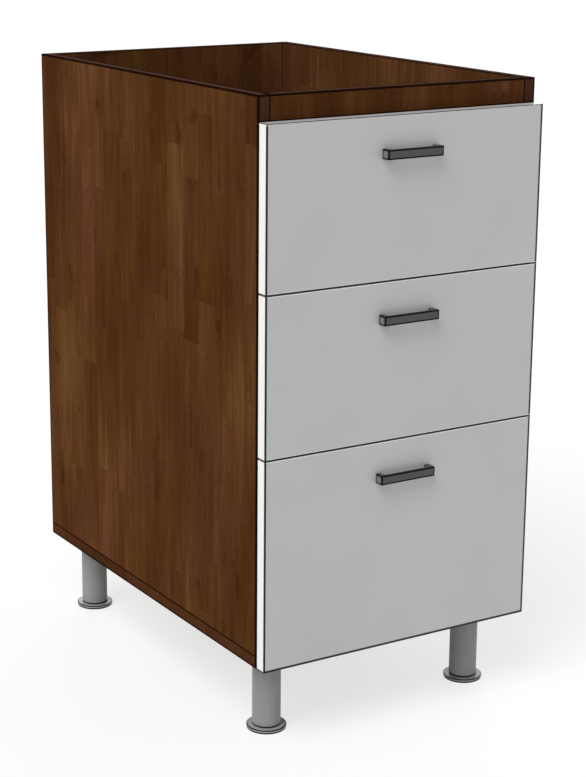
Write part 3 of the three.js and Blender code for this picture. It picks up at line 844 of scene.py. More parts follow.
def grow(name, pattern, points, body, slot, marks=None, **sizes):
    """Runs a pattern on points and returns the plain mesh piece, which rides on a body."""
    seed = bpy.data.meshes.new(name + "_points")
    seed.from_pydata([tuple(point) for point in points], [], [])
    for mark, values in (marks or {}).items():
        seed.attributes.new(mark, "FLOAT", "POINT").data.foreach_set("value", values)
    carrier = link(bpy.data.objects.new(name + "_points", seed))
    modifier = carrier.modifiers.new(pattern.name, "NODES")
    modifier.node_group = pattern.tree
    for size, value in sizes.items():
        modifier[pattern.sockets[size]] = value
    evaluated = carrier.evaluated_get(bpy.context.evaluated_depsgraph_get())
    mesh = bpy.data.meshes.new_from_object(evaluated)
    bpy.data.objects.remove(carrier)
    mesh.name = name
    piece = link(bpy.data.objects.new(name, mesh))
    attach(piece, body)
    print(name, len(mesh.polygons), "faces on", body)
    return piece


# %% [markdown]
# ## Turned legs
#
# A leg is a round tube, and its foot a round disc on a threaded stem. A lathe makes such a shape
# from half of its section, and so does this pattern. It takes the section as a row of points, lays
# out a grid with one row for each point, and wraps the grid round the leg's axis. The grid's two
# ends then meet, and Merge by Distance sews them. The section is written as corners, each with the
# size of its round, because no turned arris is sharp.

# %% The lathe pattern
SIDES_OF_ROUND = 72
EASE_STEPS = 4


def lathe_pattern(name, finish):
    """A shape turned round an upright axis, from a section whose points come in as X and Z."""
    pattern = Pattern(name, Sides=SIDES_OF_ROUND, Axis=(0.0, 0.0, 0.0))
    size = pattern.add("GeometryNodeAttributeDomainSize", sockets={"Geometry": pattern.points})
    columns = pattern.sizes["Sides"] + 1
    sockets = {"Vertices X": size, "Vertices Y": columns}
    grid = pattern.add("GeometryNodeMeshGrid", sockets=sockets)
    row = pattern.math("FLOOR", (pattern.index() + 0.5) / columns)
    column = pattern.index() - row * columns
    sockets = {"Geometry": pattern.points, "Value": pattern.position(), "Index": row}
    sample = pattern.add("GeometryNodeSampleIndex", {"data_type": "FLOAT_VECTOR"}, sockets)
    radius, _, height = pattern.outputs(pattern.add("ShaderNodeSeparateXYZ", sockets={0: sample}))
    angle = column / pattern.sizes["Sides"] * math.tau
    x = radius * pattern.math("COSINE", angle)
    y = radius * pattern.math("SINE", angle)
    sockets = {0: pattern.vector(x, y, height), 1: pattern.sizes["Axis"]}
    place = pattern.add("ShaderNodeVectorMath", {"operation": "ADD"}, sockets)
    wrapped = pattern.welded(pattern.placed(grid, place))
    pattern.end(pattern.add("GeometryNodeFlipFaces", sockets={"Mesh": wrapped}), finish)
    return pattern


def eased(corners):
    """A section's points. Each corner is a radius, a height and how far back its round starts."""
    points = []
    for number, (radius, height, ease) in enumerate(corners):
        here = Vector((radius, height))
        before = Vector(corners[number - 1][:2])
        after = Vector(corners[(number + 1) % len(corners)][:2])
        start = here + (before - here).normalized() * ease
        end = here + (after - here).normalized() * ease
        for step in range(EASE_STEPS + 1 if ease else 1):
            share = step / EASE_STEPS
            points.append(start.lerp(here, share).lerp(here.lerp(end, share), share))
    return [(point.x * MM, 0.0, point.y * MM) for point in points]


square = eased([(0, 0, 1), (9, 0, 1), (9, 9, 1), (0, 9, 1)])
print("a square section with eased corners has", len(square), "points")

# %% [markdown]
# ## The feet's threads
#
# A foot stands on a steel stud, and turning it moves it up and down. The thread shows when it is
# turned out. A real thread is cut, but it can be built the other way round: a plain core, and a
# ridge that climbs round it. The ridge is a trapezoid swept along a spiral, and its size shrinks
# to nothing over the first and the last turn, as a rolled thread runs out.

# %% The thread pattern
FOOT_TOP = 5.0
STUD_CREST, STUD_CORE, STUD_TOP = 4.95, 4.15, 42.5
THREAD_PITCH = 1.5
ROOT_SHARE, CREST_SHARE = 0.8, 0.15
STEPS_PER_TURN = 24


def thread_pattern(finish):
    """A ridge that climbs round the stud and runs out over its first and last turn."""
    pattern = Pattern(
        "thread", Core=STUD_CORE * MM, Crest=STUD_CREST * MM, Pitch=THREAD_PITCH * MM,
        Length=(STUD_TOP - FOOT_TOP) * MM,
    )
    core, crest, pitch, length = pattern.sizes.values()
    turns = length / pitch - 2
    sockets = {
        "Resolution": STEPS_PER_TURN, "Rotations": turns, "Start Radius": core, "End Radius": core,
        "Height": turns * pitch,
    }
    spiral = pattern.add("GeometryNodeCurveSpiral", sockets=sockets)
    upright = pattern.add("GeometryNodeSetCurveNormal", {"mode": "Z_UP"}, {0: spiral})
    along = pattern.add("GeometryNodeSplineParameter") * turns
    runout = pattern.least(1.0, pattern.least(along, turns - along))
    sockets = {
        "Bottom Width": pitch * ROOT_SHARE, "Top Width": pitch * CREST_SHARE,
        "Height": crest - core, "Offset": 0.0,
    }
    ridge = pattern.add("GeometryNodeCurvePrimitiveQuadrilateral", {"mode": "TRAPEZOID"}, sockets)
    raised = pattern.moved(ridge, y=(crest - core) / 2)
    sockets = {"Curve": upright, "Profile Curve": raised, "Scale": runout, "Fill Caps": True}
    swept = pattern.add("GeometryNodeCurveToMesh", sockets=sockets)
    lifted = pattern.moved(swept, z=pitch)
    pattern.end(pattern.on_points(pattern.points, lifted), finish)
    return pattern


print("the thread climbs", STUD_TOP - FOOT_TOP, "mm, and", THREAD_PITCH, "mm in each turn")

# %% [markdown]
# ## Tubes, feet and studs
#
# Now both patterns make the legs. A turned piece is best drawn by the few corners of its section,
# because each is then a size that can be measured. A tube takes its radius and both its ends from
# the model's own tube, so it fills the same space, and it stands in for it. A foot is three
# pieces: a moulded disc, the stud's core and the thread. They ride together on the body that
# moves up and down.

# %% Sections of tube, foot and stud
TUBE_WALL = 1.5
INSERT_TOP, INSERT_BORE = 17.5, 5.3
FOOT_RADIUS, SOLE_RADIUS = 25.5, 25.0
FOOT_BEVEL, FOOT_FALL = 1.4, 0.25
STUD_CHAMFER = 1


def tube_section(outside, bottom, top):
    """A tube with the insert in its lower end, from its radius and the heights of its ends."""
    section = eased([
        (INSERT_BORE, bottom, 0.5),
        (outside, bottom, 0.4),
        (outside, top, 0.3),
        (outside - TUBE_WALL, top, 0.3),
        (outside - TUBE_WALL, INSERT_TOP, 0),
        (INSERT_BORE, INSERT_TOP, 0.5),
    ])
    return [*section, section[0]]


foot_section = eased([
    (0, 0, 0),
    (SOLE_RADIUS, 0, 0.3),
    (SOLE_RADIUS, SOLE_TOP, 0),
    (FOOT_RADIUS, SOLE_TOP, 0.15),
    (FOOT_RADIUS, FOOT_TOP - FOOT_FALL, 0.3),
    (FOOT_RADIUS - FOOT_BEVEL, FOOT_TOP, 0.3),
    (0, FOOT_TOP, 0),
])
stud_section = eased([
    (0, FOOT_TOP, 0),
    (STUD_CORE, FOOT_TOP, 0),
    (STUD_CORE, STUD_TOP - STUD_CHAMFER, 0.2),
    (STUD_CORE - STUD_CHAMFER, STUD_TOP, 0.2),
    (0, STUD_TOP, 0),
])
print("a foot's section has", len(foot_section), "points and a stud's", len(stud_section))

# %% Tubes, feet and studs
tube_lathe = lathe_pattern("tube_lathe", leg_paint)
foot_lathe = lathe_pattern("foot_lathe", foot_finish())
stud_zinc = zinc("stud_zinc")
stud_lathe = lathe_pattern("stud_lathe", stud_zinc)
thread = thread_pattern(stud_zinc)
for leg in LEGS:
    level = "level_" + leg
    low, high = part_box("leg_tube_" + leg)
    axis = ((low.x + high.x) / 2, (low.y + high.y) / 2, 0.0)
    section = tube_section((high.x - low.x) / 2 / MM, low.z / MM, high.z / MM)
    tube = grow("tube_" + leg, tube_lathe, section, "root", "leg_grey", Axis=axis)
    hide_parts("leg_tube_" + leg)
    foot = grow("disc_" + leg, foot_lathe, foot_section, level, "foot_grey", Axis=axis)
    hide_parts("foot_" + leg)
    grow("stud_" + leg, stud_lathe, stud_section, level, "zinced_steel", Axis=axis)
    thread_start = (axis[0], axis[1], FOOT_TOP * MM)
    grow("thread_" + leg, thread, [thread_start], level, "zinced_steel")

# %% [markdown]
# ## Handles
#
# The handle is a bridge: a flat bar on two posts, cut from one piece. It could be a block with a
# hole cut into it, but an outline keeps every corner as a number. So its plan is drawn as an
# outline whose two inner corners are arcs. The outline is laid down twice, at the bar's lowest
# level and at its highest, and walls join the two. The arcs here are much finer than the model's,
# and a Bevel modifier rounds every arris.

# %% The handles
HANDLE_BAR, HANDLE_POST = 4 * MM, 7 * MM
HANDLE_INNER_RADIUS = 4 * MM
HANDLE_ARC_STEPS = 12
HANDLE_ARRIS = 0.5 * MM
HANDLE_ARRIS_ANGLE = math.radians(50)


def handle_plan(low, high):
    """The handle's outline seen from above, against the clock."""
    inside = high.x - HANDLE_POST
    arc_x, arc_y = inside - HANDLE_INNER_RADIUS, low.y + HANDLE_BAR + HANDLE_INNER_RADIUS
    middle = (low.x + high.x) / 2
    quarter = [math.pi / 2 * step / HANDLE_ARC_STEPS for step in range(HANDLE_ARC_STEPS + 1)]
    right_arc = [
        (arc_x + HANDLE_INNER_RADIUS * math.cos(turn), arc_y - HANDLE_INNER_RADIUS * math.sin(turn))
        for turn in quarter
    ]
    left_arc = [(2 * middle - x, y) for x, y in reversed(right_arc)]
    outer = [(low.x, high.y), (low.x, low.y), (high.x, low.y), (high.x, high.y)]
    mirrored = 2 * middle - inside
    return [*outer, (inside, high.y), *right_arc, *left_arc, (mirrored, high.y)]


def upright_block(plan, bottom, top):
    """The corners of a block that stands on a plan, and its faces, each turned outwards."""
    count = len(plan)
    corners = [(x, y, level) for level in (bottom, top) for x, y in plan]
    under = tuple(reversed(range(count)))
    upper = tuple(range(count, 2 * count))
    walls = [(n, (n + 1) % count, (n + 1) % count + count, n + count) for n in range(count)]
    return corners, [under, upper, *walls]


for drawer in DRAWERS:
    low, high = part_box("handle_" + drawer)
    corners, faces = upright_block(handle_plan(low, high), low.z, high.z)
    mesh = bpy.data.meshes.new("bridge_" + drawer)
    mesh.from_pydata(corners, [], faces)
    mesh.materials.append(graphite("handle_" + drawer).material)
    mesh.shade_smooth()
    piece = link(bpy.data.objects.new("bridge_" + drawer, mesh))
    bevel = piece.modifiers.new("arris", "BEVEL")
    bevel.width = HANDLE_ARRIS
    bevel.segments = 3
    bevel.limit_method = "ANGLE"
    bevel.angle_limit = HANDLE_ARRIS_ANGLE
    bevel.harden_normals = True
    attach(piece, "drawer_" + drawer)
    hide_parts("handle_" + drawer)
    print(piece.name, len(mesh.polygons), "faces on drawer_" + drawer)

# %% [markdown]
# ## Balls in their cages
#
# Each slide runs on four rows of balls: two between the member on the cabinet and the middle one,
# and two between the middle one and the member on the drawer. A pressed strip, the cage, keeps a
# row's balls apart. A real cage creeps along between its two members. Here all the cages ride on
# the middle member, which travels half as far as the drawer. The rows near the drawer lie in its
# front half and the others in its rear half, so no row leaves its race however far the drawer is
# pulled.
#
# The pattern takes one point for each row. Two marks on the point say how wide its cage is and
# how far it lies to one side.

# %% The ball row pattern
BALL, BALL_PITCH, BALL_COUNT = 4 * MM, 12.0 * MM, 15
CAGE_SHEET = 0.5 * MM
CAGE_END = 6 * MM


def ball_row_pattern(finish):
    """Rows of balls along Y, each with the strip that keeps its balls apart."""
    pattern = Pattern(
        "ball_row", Ball=BALL, Pitch=BALL_PITCH, Count=BALL_COUNT, Sheet=CAGE_SHEET,
        Margin=CAGE_END,
    )
    diameter, pitch, count, sheet, margin = pattern.sizes.values()
    length = (count - 1) * pitch
    sockets = {"Radius": diameter / 2, "Subdivisions": 2}
    ball = pattern.add("GeometryNodeMeshIcoSphere", sockets=sockets)
    start, step = pattern.vector(y=length / -2), pattern.vector(y=pitch)
    sockets = {"Count": count, "Start Location": start, "Offset": step}
    line = pattern.add("GeometryNodeMeshLine", sockets=sockets)
    rows = pattern.on_points(pattern.points, pattern.on_points(line, ball))

    width, aside = (
        pattern.add("GeometryNodeInputNamedAttribute", {"data_type": "FLOAT"}, {"Name": mark})
        for mark in ("cage_width", "cage_aside")
    )
    sockets = {"Geometry": pattern.points, "Offset": pattern.vector(x=aside)}
    beside = pattern.add("GeometryNodeSetPosition", sockets=sockets)
    unit = pattern.block(1.0, 1.0, 1.0)
    size = pattern.vector(width, length + margin * 2, sheet)
    cages = pattern.on_points(beside, unit, Scale=size)
    pattern.end(pattern.join(rows, cages), finish)
    return pattern


print("a row of", BALL_COUNT, "balls is", round(BALL_PITCH * (BALL_COUNT - 1) / MM), "mm long")

# %% [markdown]
# ## Four rows in each slide
#
# A row lies where two flanges face each other. So its place is a reach from the cabinet's side
# and a rise above or below the slide's middle, and both can be read off a slide's section. The
# two slides of a drawer always move together, so their eight rows are one piece with eight
# starting points.

# %% The rows of balls
OUTER_ROW, INNER_ROW = (7.95 * MM, 19.4 * MM), (5.35 * MM, 14.553 * MM)
OUTER_CAGE, INNER_CAGE = (2.3 * MM, 10.9 * MM), (3.5 * MM, 10.4 * MM)
ball_row = ball_row_pattern(zinc("ball_steel", "c4c6c9", "dcdcda"))
for drawer in DRAWERS:
    rows, widths, asides = [], [], []
    for side, inward in INWARD.items():
        low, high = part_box(f"slide_outer_{side}_{drawer}")
        wall = low.x if side == "left" else high.x
        quarter = (high.y - low.y) / 4
        middle = (low + high) / 2
        for (reach, rise), (near, far), y in (
            (OUTER_ROW, OUTER_CAGE, middle.y + quarter),
            (INNER_ROW, INNER_CAGE, middle.y - quarter),
        ):
            for up in (-1, 1):
                rows.append((wall + inward * reach, y, middle.z + up * rise))
                widths.append(far - near)
                asides.append(inward * ((near + far) / 2 - reach))
    marks = {"cage_width": widths, "cage_aside": asides}
    grow("balls_" + drawer, ball_row, rows, "slide_pair_" + drawer, "zinced_steel", marks)

# %% [markdown]
# ## Screw heads, cams and pads
#
# Seen from outside, every screw is its head. A head is what a squashed ball and a short rod have
# in common, which gives a low dome with an upright rim, and a driver's recess is cut into it. The
# recess is a cross for the small screws, a hexagon for the long ones, and there is none on a pad.
# Each head is turned by its own random angle, as a real row of screws is, with a fixed seed.

# %% The head pattern
CROSS_REACH, CROSS_WIDTH = 0.62, 0.15
HEX_REACH = 0.26
DOME_REACH = 0.62
HEAD_SIDES, HEAD_RINGS = 32, 24
HEAD_SEED = 5


def head_pattern(name, recess, finish):
    """A domed head with a recess, "cross", "hex" or "none", that faces a direction."""
    pattern = Pattern(name, Width=8 * MM, Height=2 * MM, Recess=1 * MM, Facing=(0.0, 0.0, 1.0))
    width, height, depth, facing = pattern.sizes.values()
    sockets = {"Segments": HEAD_SIDES, "Rings": HEAD_RINGS, "Radius": 1.0}
    ball = pattern.add("GeometryNodeMeshUVSphere", sockets=sockets)
    squash = pattern.vector(width * DOME_REACH, width * DOME_REACH, height)
    dome = pattern.add("GeometryNodeTransform", sockets={"Geometry": ball, "Scale": squash})
    head = pattern.boolean("INTERSECT", pattern.rod(width / 2, height, HEAD_SIDES), dome)
    if recess == "cross":
        for long, short in ((CROSS_REACH, CROSS_WIDTH), (CROSS_WIDTH, CROSS_REACH)):
            bar = pattern.block(width * long, width * short, depth * 2)
            head = pattern.boolean("DIFFERENCE", head, pattern.moved(bar, z=height))
    if recess == "hex":
        socket = pattern.rod(width * HEX_REACH, depth * 2, 6)
        head = pattern.boolean("DIFFERENCE", head, pattern.moved(socket, z=height - depth))
    aim = pattern.aimed(facing)
    sockets = {2: 0.0, 3: math.tau}
    turn = pattern.add("FunctionNodeRandomValue", {"data_type": "FLOAT"}, sockets, output=1)
    pattern.feed(turn.socket.node.inputs["Seed"], HEAD_SEED)
    spin = pattern.add("FunctionNodeEulerToRotation", sockets={0: pattern.vector(z=turn)})
    both = pattern.add("FunctionNodeRotateRotation", {"rotation_space": "LOCAL"}, {0: aim, 1: spin})
    pattern.end(pattern.on_points(pattern.points, head, Rotation=both), finish)
    return pattern


screw_zinc = zinc("screw_zinc", "b5b4ae", "d2cfc6")
cross_head = head_pattern("cross_head", "cross", screw_zinc)
hex_head = head_pattern("hex_head", "hex", screw_zinc)
pad = head_pattern("pad", "none", moulded("pad_plastic", "cfcfcb", 0.35))
for head in (cross_head, hex_head, pad):
    print(head.name, "is a pattern of", len(head.tree.nodes), "nodes")

# %% [markdown]
# ## Where the fittings go
#
# The boards are already drilled, so each place follows from the drilling: three long screws under
# each side, a cam in the rear face of each rail's ends, four screws in each leg plate, three in
# each slide member, two behind each handle and four through each box's front. The heads behind
# the handles lie sunk in the front, because the rail passes close behind the top one.

# %% Fittings of the carcase
LONG_SCREW_INSET, LONG_SCREW_COUNT = 100 * MM, 3
CAM_INSET, CAM_WIDTH, CAM_HEIGHT, CAM_SINK = 34 * MM, 14.6 * MM, 3 * MM, 0.3 * MM
LONG_SCREW_SINK = 1.2 * MM
PLATE_SCREW, PLATE_SHEET = 24 * MM, 3 * MM
EACH_WAY = (-1, 1)

low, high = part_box("bottom_panel")
half_board = (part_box("side_panel_left")[1].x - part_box("side_panel_left")[0].x) / 2
step = (high.y - low.y - 2 * LONG_SCREW_INSET) / (LONG_SCREW_COUNT - 1)
long_screws = [
    (x, low.y + LONG_SCREW_INSET + step * number, low.z + LONG_SCREW_SINK)
    for x in (low.x + half_board, high.x - half_board)
    for number in range(LONG_SCREW_COUNT)
]
grow(
    "long_screws", hex_head, long_screws, "root", "zinced_steel",
    Width=9 * MM, Height=0.8 * MM, Recess=0.6 * MM, Facing=(0.0, 0.0, -1.0),
)

cams = []
for rail in ("front_rail", "rear_rail"):
    low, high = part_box(rail)
    sunk = high.y - CAM_SINK - CAM_HEIGHT
    cams += [(x, sunk, (low.z + high.z) / 2) for x in (low.x + CAM_INSET, high.x - CAM_INSET)]
grow(
    "rail_cams", cross_head, cams, "root", "zinced_steel",
    Width=CAM_WIDTH, Height=CAM_HEIGHT, Recess=1.8 * MM, Facing=(0.0, 1.0, 0.0),
)

plate_screws = []
for leg in LEGS:
    low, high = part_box("leg_plate_" + leg)
    plate_under = high.z - PLATE_SHEET
    centre = (low + high) / 2
    for x in EACH_WAY:
        for y in EACH_WAY:
            place = (centre.x + x * PLATE_SCREW, centre.y + y * PLATE_SCREW, plate_under)
            plate_screws.append(place)
grow(
    "leg_plate_screws", cross_head, plate_screws, "root", "zinced_steel",
    Width=8.5 * MM, Height=2.4 * MM, Recess=1.4 * MM, Facing=(0.0, 0.0, -1.0),
)

# %% [markdown]
# ## Screws in the slides
#
# A slide's outer member is screwed to the cabinet and its inner member to the drawer box, each
# through three holes in its web. The middle member passes over both rows of heads, so those in
# the outer member must be very flat, and those in the inner one lower than its channel is deep.

# %% Fittings of the slides
SLIDE_SCREW_INSET, SLIDE_SCREW_COUNT = 37 * MM, 3
SLIDE_SHEET = 1.2 * MM


def slide_screws(member, side, drawer):
    """The places of a member's screws, on its web."""
    low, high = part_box(f"slide_{member}_{side}_{drawer}")
    to_cabinet = low.x if side == "left" else high.x
    to_drawer = high.x if side == "left" else low.x
    if member == "outer":
        web = to_cabinet + INWARD[side] * SLIDE_SHEET
    else:
        web = to_drawer - INWARD[side] * SLIDE_SHEET
    pitch = (high.y - low.y - 2 * SLIDE_SCREW_INSET) / (SLIDE_SCREW_COUNT - 1)
    middle = (low.z + high.z) / 2
    return [(web, low.y + SLIDE_SCREW_INSET + pitch * n, middle) for n in range(SLIDE_SCREW_COUNT)]


for side, inward in INWARD.items():
    places = [place for drawer in DRAWERS for place in slide_screws("outer", side, drawer)]
    grow(
        "cabinet_slide_screws_" + side, cross_head, places, "root", "zinced_steel",
        Width=8 * MM, Height=0.5 * MM, Recess=0.35 * MM, Facing=(inward, 0.0, 0.0),
    )
    for drawer in DRAWERS:
        grow(
            f"box_slide_screws_{side}_{drawer}", cross_head, slide_screws("inner", side, drawer),
            "drawer_" + drawer, "zinced_steel",
            Width=7 * MM, Height=1.8 * MM, Recess=1.1 * MM, Facing=(-inward, 0.0, 0.0),
        )

# %% [markdown]
# ## Release levers
#
# A drawer can be lifted off its slides. A small plastic lever on each drawer member, pressed with
# a thumb, frees it from the middle member. It lies in the drawer member's channel, just ahead of
# where the middle member ends when the drawer is out, because that is where a hand can reach it.
# The lever is a disc for the thumb, a bar and a hook. Booleans join them, so that it has one
# closed skin with no faces hidden inside, and cut grooves for grip into the disc. The bar's and
# the hook's sizes are shares of the lever's.

# %% Release levers
LEVER_LENGTH, LEVER_WIDTH, LEVER_HEIGHT = 56 * MM, 6 * MM, 2.4 * MM
LEVER_GAP = 8 * MM
THUMB_SIDES = 32
BAR_SHARE, BAR_LIFT = 0.8, 0.05
HOOK_WIDTH, HOOK_DEPTH = 1.5, 0.7
GRIP_GROOVES, GRIP_PITCH, GRIP_WIDTH = 3, 2.6 * MM, 0.9 * MM


def lever_pattern(finish):
    """A lever that lies along Y with its thumb disc in front, and faces a direction."""
    pattern = Pattern(
        "release_lever", Length=LEVER_LENGTH, Width=LEVER_WIDTH, Height=LEVER_HEIGHT,
        Facing=(0.0, 0.0, 1.0),
    )
    length, width, height, facing = pattern.sizes.values()
    thumb = width - length / 2
    disc = pattern.moved(pattern.rod(width, height, THUMB_SIDES), y=thumb)
    bar = pattern.block(width, length - width, height * BAR_SHARE)
    bar = pattern.moved(bar, y=width / 2, z=height * (BAR_LIFT + BAR_SHARE / 2))
    hook = pattern.block(width * HOOK_WIDTH, width * HOOK_DEPTH, height)
    hook = pattern.moved(hook, y=length / 2 - width * HOOK_DEPTH / 2, z=height / 2)
    lever = pattern.boolean("UNION", pattern.boolean("UNION", disc, bar), hook)
    for number in range(GRIP_GROOVES):
        along = thumb + (number - (GRIP_GROOVES - 1) / 2) * GRIP_PITCH
        groove = pattern.block(width * 3, GRIP_WIDTH, height / 2)
        groove = pattern.moved(groove, y=along, z=height)
        lever = pattern.boolean("DIFFERENCE", lever, groove)
    turned = pattern.on_points(pattern.points, lever, Rotation=pattern.aimed(facing))
    pattern.end(turned, finish)
    return pattern


lever = lever_pattern(moulded("lever_plastic", "262626", 0.45))
for drawer in DRAWERS:
    for side, inward in INWARD.items():
        _, (web, middle_y, middle_z), _ = slide_screws("inner", side, drawer)
        start = (web, middle_y - LEVER_GAP - LEVER_LENGTH / 2, middle_z)
        grow(
            f"release_lever_{side}_{drawer}", lever, [start], "drawer_" + drawer,
            "handle_graphite", Facing=(-inward, 0.0, 0.0),
        )

# %% [markdown]
# ## Screws and pads of the fronts
#
# A front hangs on its drawer box by four screws from inside the box, and its handle by two screws
# from behind. A pad near each corner softens the blow when the drawer shuts. It is a head without
# a recess, so it needs no pattern of its own.

# %% Fittings of the fronts
HANDLE_SCREW_SINK = 1.2 * MM
FRONT_SCREW_INSET, FRONT_SCREW_RISE, FRONT_SCREW_DROP = 45 * MM, 35 * MM, 30 * MM
PAD_INSET = 25 * MM

for drawer in DRAWERS:
    body = "drawer_" + drawer
    front_low, front_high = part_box("drawer_front_" + drawer)
    handle_low, handle_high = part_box("handle_" + drawer)
    box_low, box_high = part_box("box_front_" + drawer)
    post_places = [
        (x, front_high.y - HANDLE_SCREW_SINK, (handle_low.z + handle_high.z) / 2)
        for x in (handle_low.x + HANDLE_POST / 2, handle_high.x - HANDLE_POST / 2)
    ]
    grow(
        "handle_screws_" + drawer, cross_head, post_places, body, "zinced_steel",
        Width=8 * MM, Height=0.9 * MM, Recess=0.7 * MM, Facing=(0.0, 1.0, 0.0),
    )
    box_places = [
        (x, box_high.y, z)
        for x in (box_low.x + FRONT_SCREW_INSET, box_high.x - FRONT_SCREW_INSET)
        for z in (box_low.z + FRONT_SCREW_RISE, box_high.z - FRONT_SCREW_DROP)
    ]
    grow(
        "front_screws_" + drawer, cross_head, box_places, body, "zinced_steel",
        Width=8.5 * MM, Height=2.2 * MM, Recess=1.3 * MM, Facing=(0.0, 1.0, 0.0),
    )
    pad_places = [
        (x, front_high.y, z)
        for x in (front_low.x + half_board, front_high.x - half_board)
        for z in (front_low.z + PAD_INSET, front_high.z - PAD_INSET)
    ]
    grow(
        "front_pads_" + drawer, pad, pad_places, body, "box_white",
        Width=9 * MM, Height=0.7 * MM, Facing=(0.0, 1.0, 0.0),
    )

# %% [markdown]
# ## Dust lips, black as painted shade in the gaps
#
# The gap between two fronts is black right to its ends, where daylight would otherwise show
# through it. So each lower front carries a lip of black rubber on its upper edge, which also keeps
# dust out: the lip is partly a dust seal and partly a dark sheet that stands for the shade in the
# gap, painted shade. It is an extruded strip, a flat foot with a thin blade on it, and the blade
# stops short of the front above.

# %% Dust lips, black as painted shade in the gaps
LIP_FOOT, LIP_BLADE, LIP_HEIGHT = 3 * MM, 1 * MM, 1.6 * MM
LIP_SETBACK, LIP_END = 0.5 * MM, 0.2 * MM


def lip_pattern(finish):
    """A strip along X: a flat foot, with a blade along its front."""
    pattern = Pattern(
        "dust_lip", Length=400 * MM, Foot=LIP_FOOT, Blade=LIP_BLADE, Height=LIP_HEIGHT,
    )
    length, foot, blade, height = pattern.sizes.values()
    flat = pattern.moved(pattern.block(length, foot, height / 3), y=foot / 2, z=height / 6)
    upright = pattern.moved(pattern.block(length, blade, height), y=blade / 2, z=height / 2)
    lip = pattern.boolean("UNION", flat, upright)
    pattern.end(pattern.on_points(pattern.points, lip), finish)
    return pattern


# Painted shade: the lip's black rubber darkens the gap between two fronts, as well as sealing it.
dust_lip = lip_pattern(moulded("lip_rubber", "0a0a0a", 0.6))
for drawer in DRAWERS[1:]:
    low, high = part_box("drawer_front_" + drawer)
    start = ((low.x + high.x) / 2, low.y + LIP_SETBACK, high.z)
    grow(
        "dust_lip_" + drawer, dust_lip, [start], "drawer_" + drawer, "handle_graphite",
        Length=high.x - low.x - 2 * LIP_END,
    )

# %% [markdown]
# ## The studio
#
# The floor is a large pale sheet, and the world is a plain white sky. A sky alone would light the
# cabinet evenly, but the background would then have to be as dim as that light. So floor and
# world look at what kind of ray reaches them. Rays that the camera sees, straight or in a gloss,
# meet near white. Rays that carry light meet the real thing. The floor mixes only a share of that
# glow in, so the cabinet's shadow stays.

# %% What the camera sees
WHITE = (1.0, 1.0, 1.0, 1.0)


def seen_by_camera(tree):
    """1 for a ray that shows something to the camera, 0 for one that only carries light."""
    rays = {ray.socket.name: ray for ray in tree.outputs(tree.add("ShaderNodeLightPath"))}
    through = tree.most(rays["Is Glossy Ray"], rays["Is Transmission Ray"])
    return tree.most(rays["Is Camera Ray"], through)


print("what the camera sees of the studio is", WHITE[:3])

# %% [markdown]
# ## Floor and sky
#
# A real studio has a sheet that curves up behind the object. A flat one that reaches far beyond
# the picture looks the same, and looks right from every side. It lies a hair below the feet, so
# that no two faces share a plane.

# %% Floor
FLOOR_HALF = 60.0
FLOOR_DROP = 0.05 * MM
FLOOR_TONE = "f3f3f1"
FLOOR_GLOW = 0.7

floor_mesh = bpy.data.meshes.new("floor")
around = ((-1, -1), (1, -1), (1, 1), (-1, 1))
corners = [(FLOOR_HALF * x, FLOOR_HALF * y, -FLOOR_DROP) for x, y in around]
floor_mesh.from_pydata(corners, [], [(0, 1, 2, 3)])
floor = link(bpy.data.objects.new("floor", floor_mesh))
paint = Finish("floor_paint", Specular_IOR_Level=0.1, Roughness=0.8)
paint.set("Base Color", tone(FLOOR_TONE))
glow = paint.add("ShaderNodeEmission", sockets={"Color": WHITE, "Strength": 1.0})
lit = Value(paint, paint.shader.outputs["BSDF"])
share = seen_by_camera(paint) * FLOOR_GLOW
mixed = paint.add("ShaderNodeMixShader", sockets={0: share, 1: lit, 2: glow})
paint.feed(paint.tree.nodes["Material Output"].inputs["Surface"], mixed)
floor_mesh.materials.append(paint.material)
print("floor", 2 * FLOOR_HALF, "m square")

# %% Sky
SKY = 0.47

world = bpy.data.worlds.new("studio")
world.use_nodes = True
world.node_tree.nodes.clear()
bpy.context.scene.world = world
sky = Tree(world.node_tree)
dim, bright = (
    sky.add("ShaderNodeBackground", sockets={"Color": WHITE, "Strength": strength})
    for strength in (SKY, 1.0)
)
both = sky.add("ShaderNodeMixShader", sockets={0: seen_by_camera(sky), 1: dim, 2: bright})
output = world.node_tree.nodes.new("ShaderNodeOutputWorld")
sky.feed(output.inputs["Surface"], both)
print("the sky gives", SKY, "of the light, from all round")

# %% [markdown]
# ## Two soft lamps
#
# A sun lamp lights every point from one direction, and a wide angle makes it as soft as a large
# box of light. Written as a vector towards the lamp, its three numbers are also what it adds to
# the faces that look along each axis, in the shares of a light at which a colour renders as it
# is written. The key lamp is high on the left. A weak second one stands low behind the cabinet,
# so that its back and its right side aren't left to the sky alone.

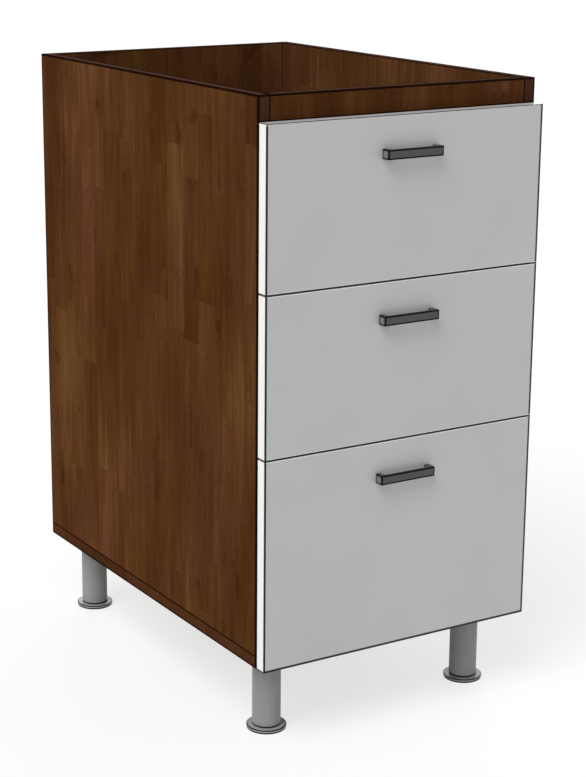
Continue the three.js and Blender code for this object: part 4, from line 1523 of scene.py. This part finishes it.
# %% Lamps
LAMPS = {"key": (-0.42, -0.20, 0.60), "fill": (0.26, 0.34, 0.10)}
LAMP_ANGLE = math.radians(40)

for name, reach in LAMPS.items():
    towards = Vector(reach)
    lamp = bpy.data.lights.new(name, "SUN")
    lamp.energy = math.pi * towards.length
    lamp.angle = LAMP_ANGLE
    sun = link(bpy.data.objects.new(name, lamp))
    sun.rotation_euler = (-towards).to_track_quat("-Z", "Y").to_euler()
    print(name, "lamp adds", [round(abs(share), 2) for share in reach], "to faces along X, Y and Z")

# %% [markdown]
# ## The camera
#
# A product photograph is framed by the camera's place, the way it looks and its lens. All three
# were found by setting the cabinet's corners against where they stand in the picture. The picture
# was cropped, so its centre isn't where the lens points, and a small shift of the lens makes up
# for it. The lens is given in pixels of the picture's longer side, which Blender fits the sensor
# to, and the camera's three axes make its rotation: to the right, up, and back from the scene.

# %% Camera
PICTURE_HEIGHT = 777
FOCAL_PIXELS = 1907
SENSOR = 36
CAMERA_PLACE = Vector((-1.3217, -2.1281, 1.0510))
CAMERA_AZIMUTH = math.radians(-30.851)
CAMERA_ELEVATION = math.radians(14.688)
CAMERA_ROLL = math.radians(0.163)
SHIFT_RIGHT, SHIFT_UP = 0.06, -0.0224

back = Vector((
    math.sin(CAMERA_AZIMUTH) * math.cos(CAMERA_ELEVATION),
    -math.cos(CAMERA_AZIMUTH) * math.cos(CAMERA_ELEVATION),
    math.sin(CAMERA_ELEVATION),
))
level = Vector((0, 0, 1)).cross(back).normalized()
turn = Matrix((level, back.cross(level), back)).transposed() @ Matrix.Rotation(CAMERA_ROLL, 3, "Z")
camera_data = bpy.data.cameras.new("camera")
camera_data.sensor_width = SENSOR
camera_data.lens = FOCAL_PIXELS * SENSOR / PICTURE_HEIGHT
camera_data.shift_x = SHIFT_RIGHT
camera_data.shift_y = SHIFT_UP
camera = link(bpy.data.objects.new("camera", camera_data))
camera.location = CAMERA_PLACE
camera.rotation_euler = turn.to_euler()
bpy.context.scene.camera = camera
stands_at = [round(place, 3) for place in camera.location]
print("lens", round(camera_data.lens, 1), "mm, camera at", stands_at)
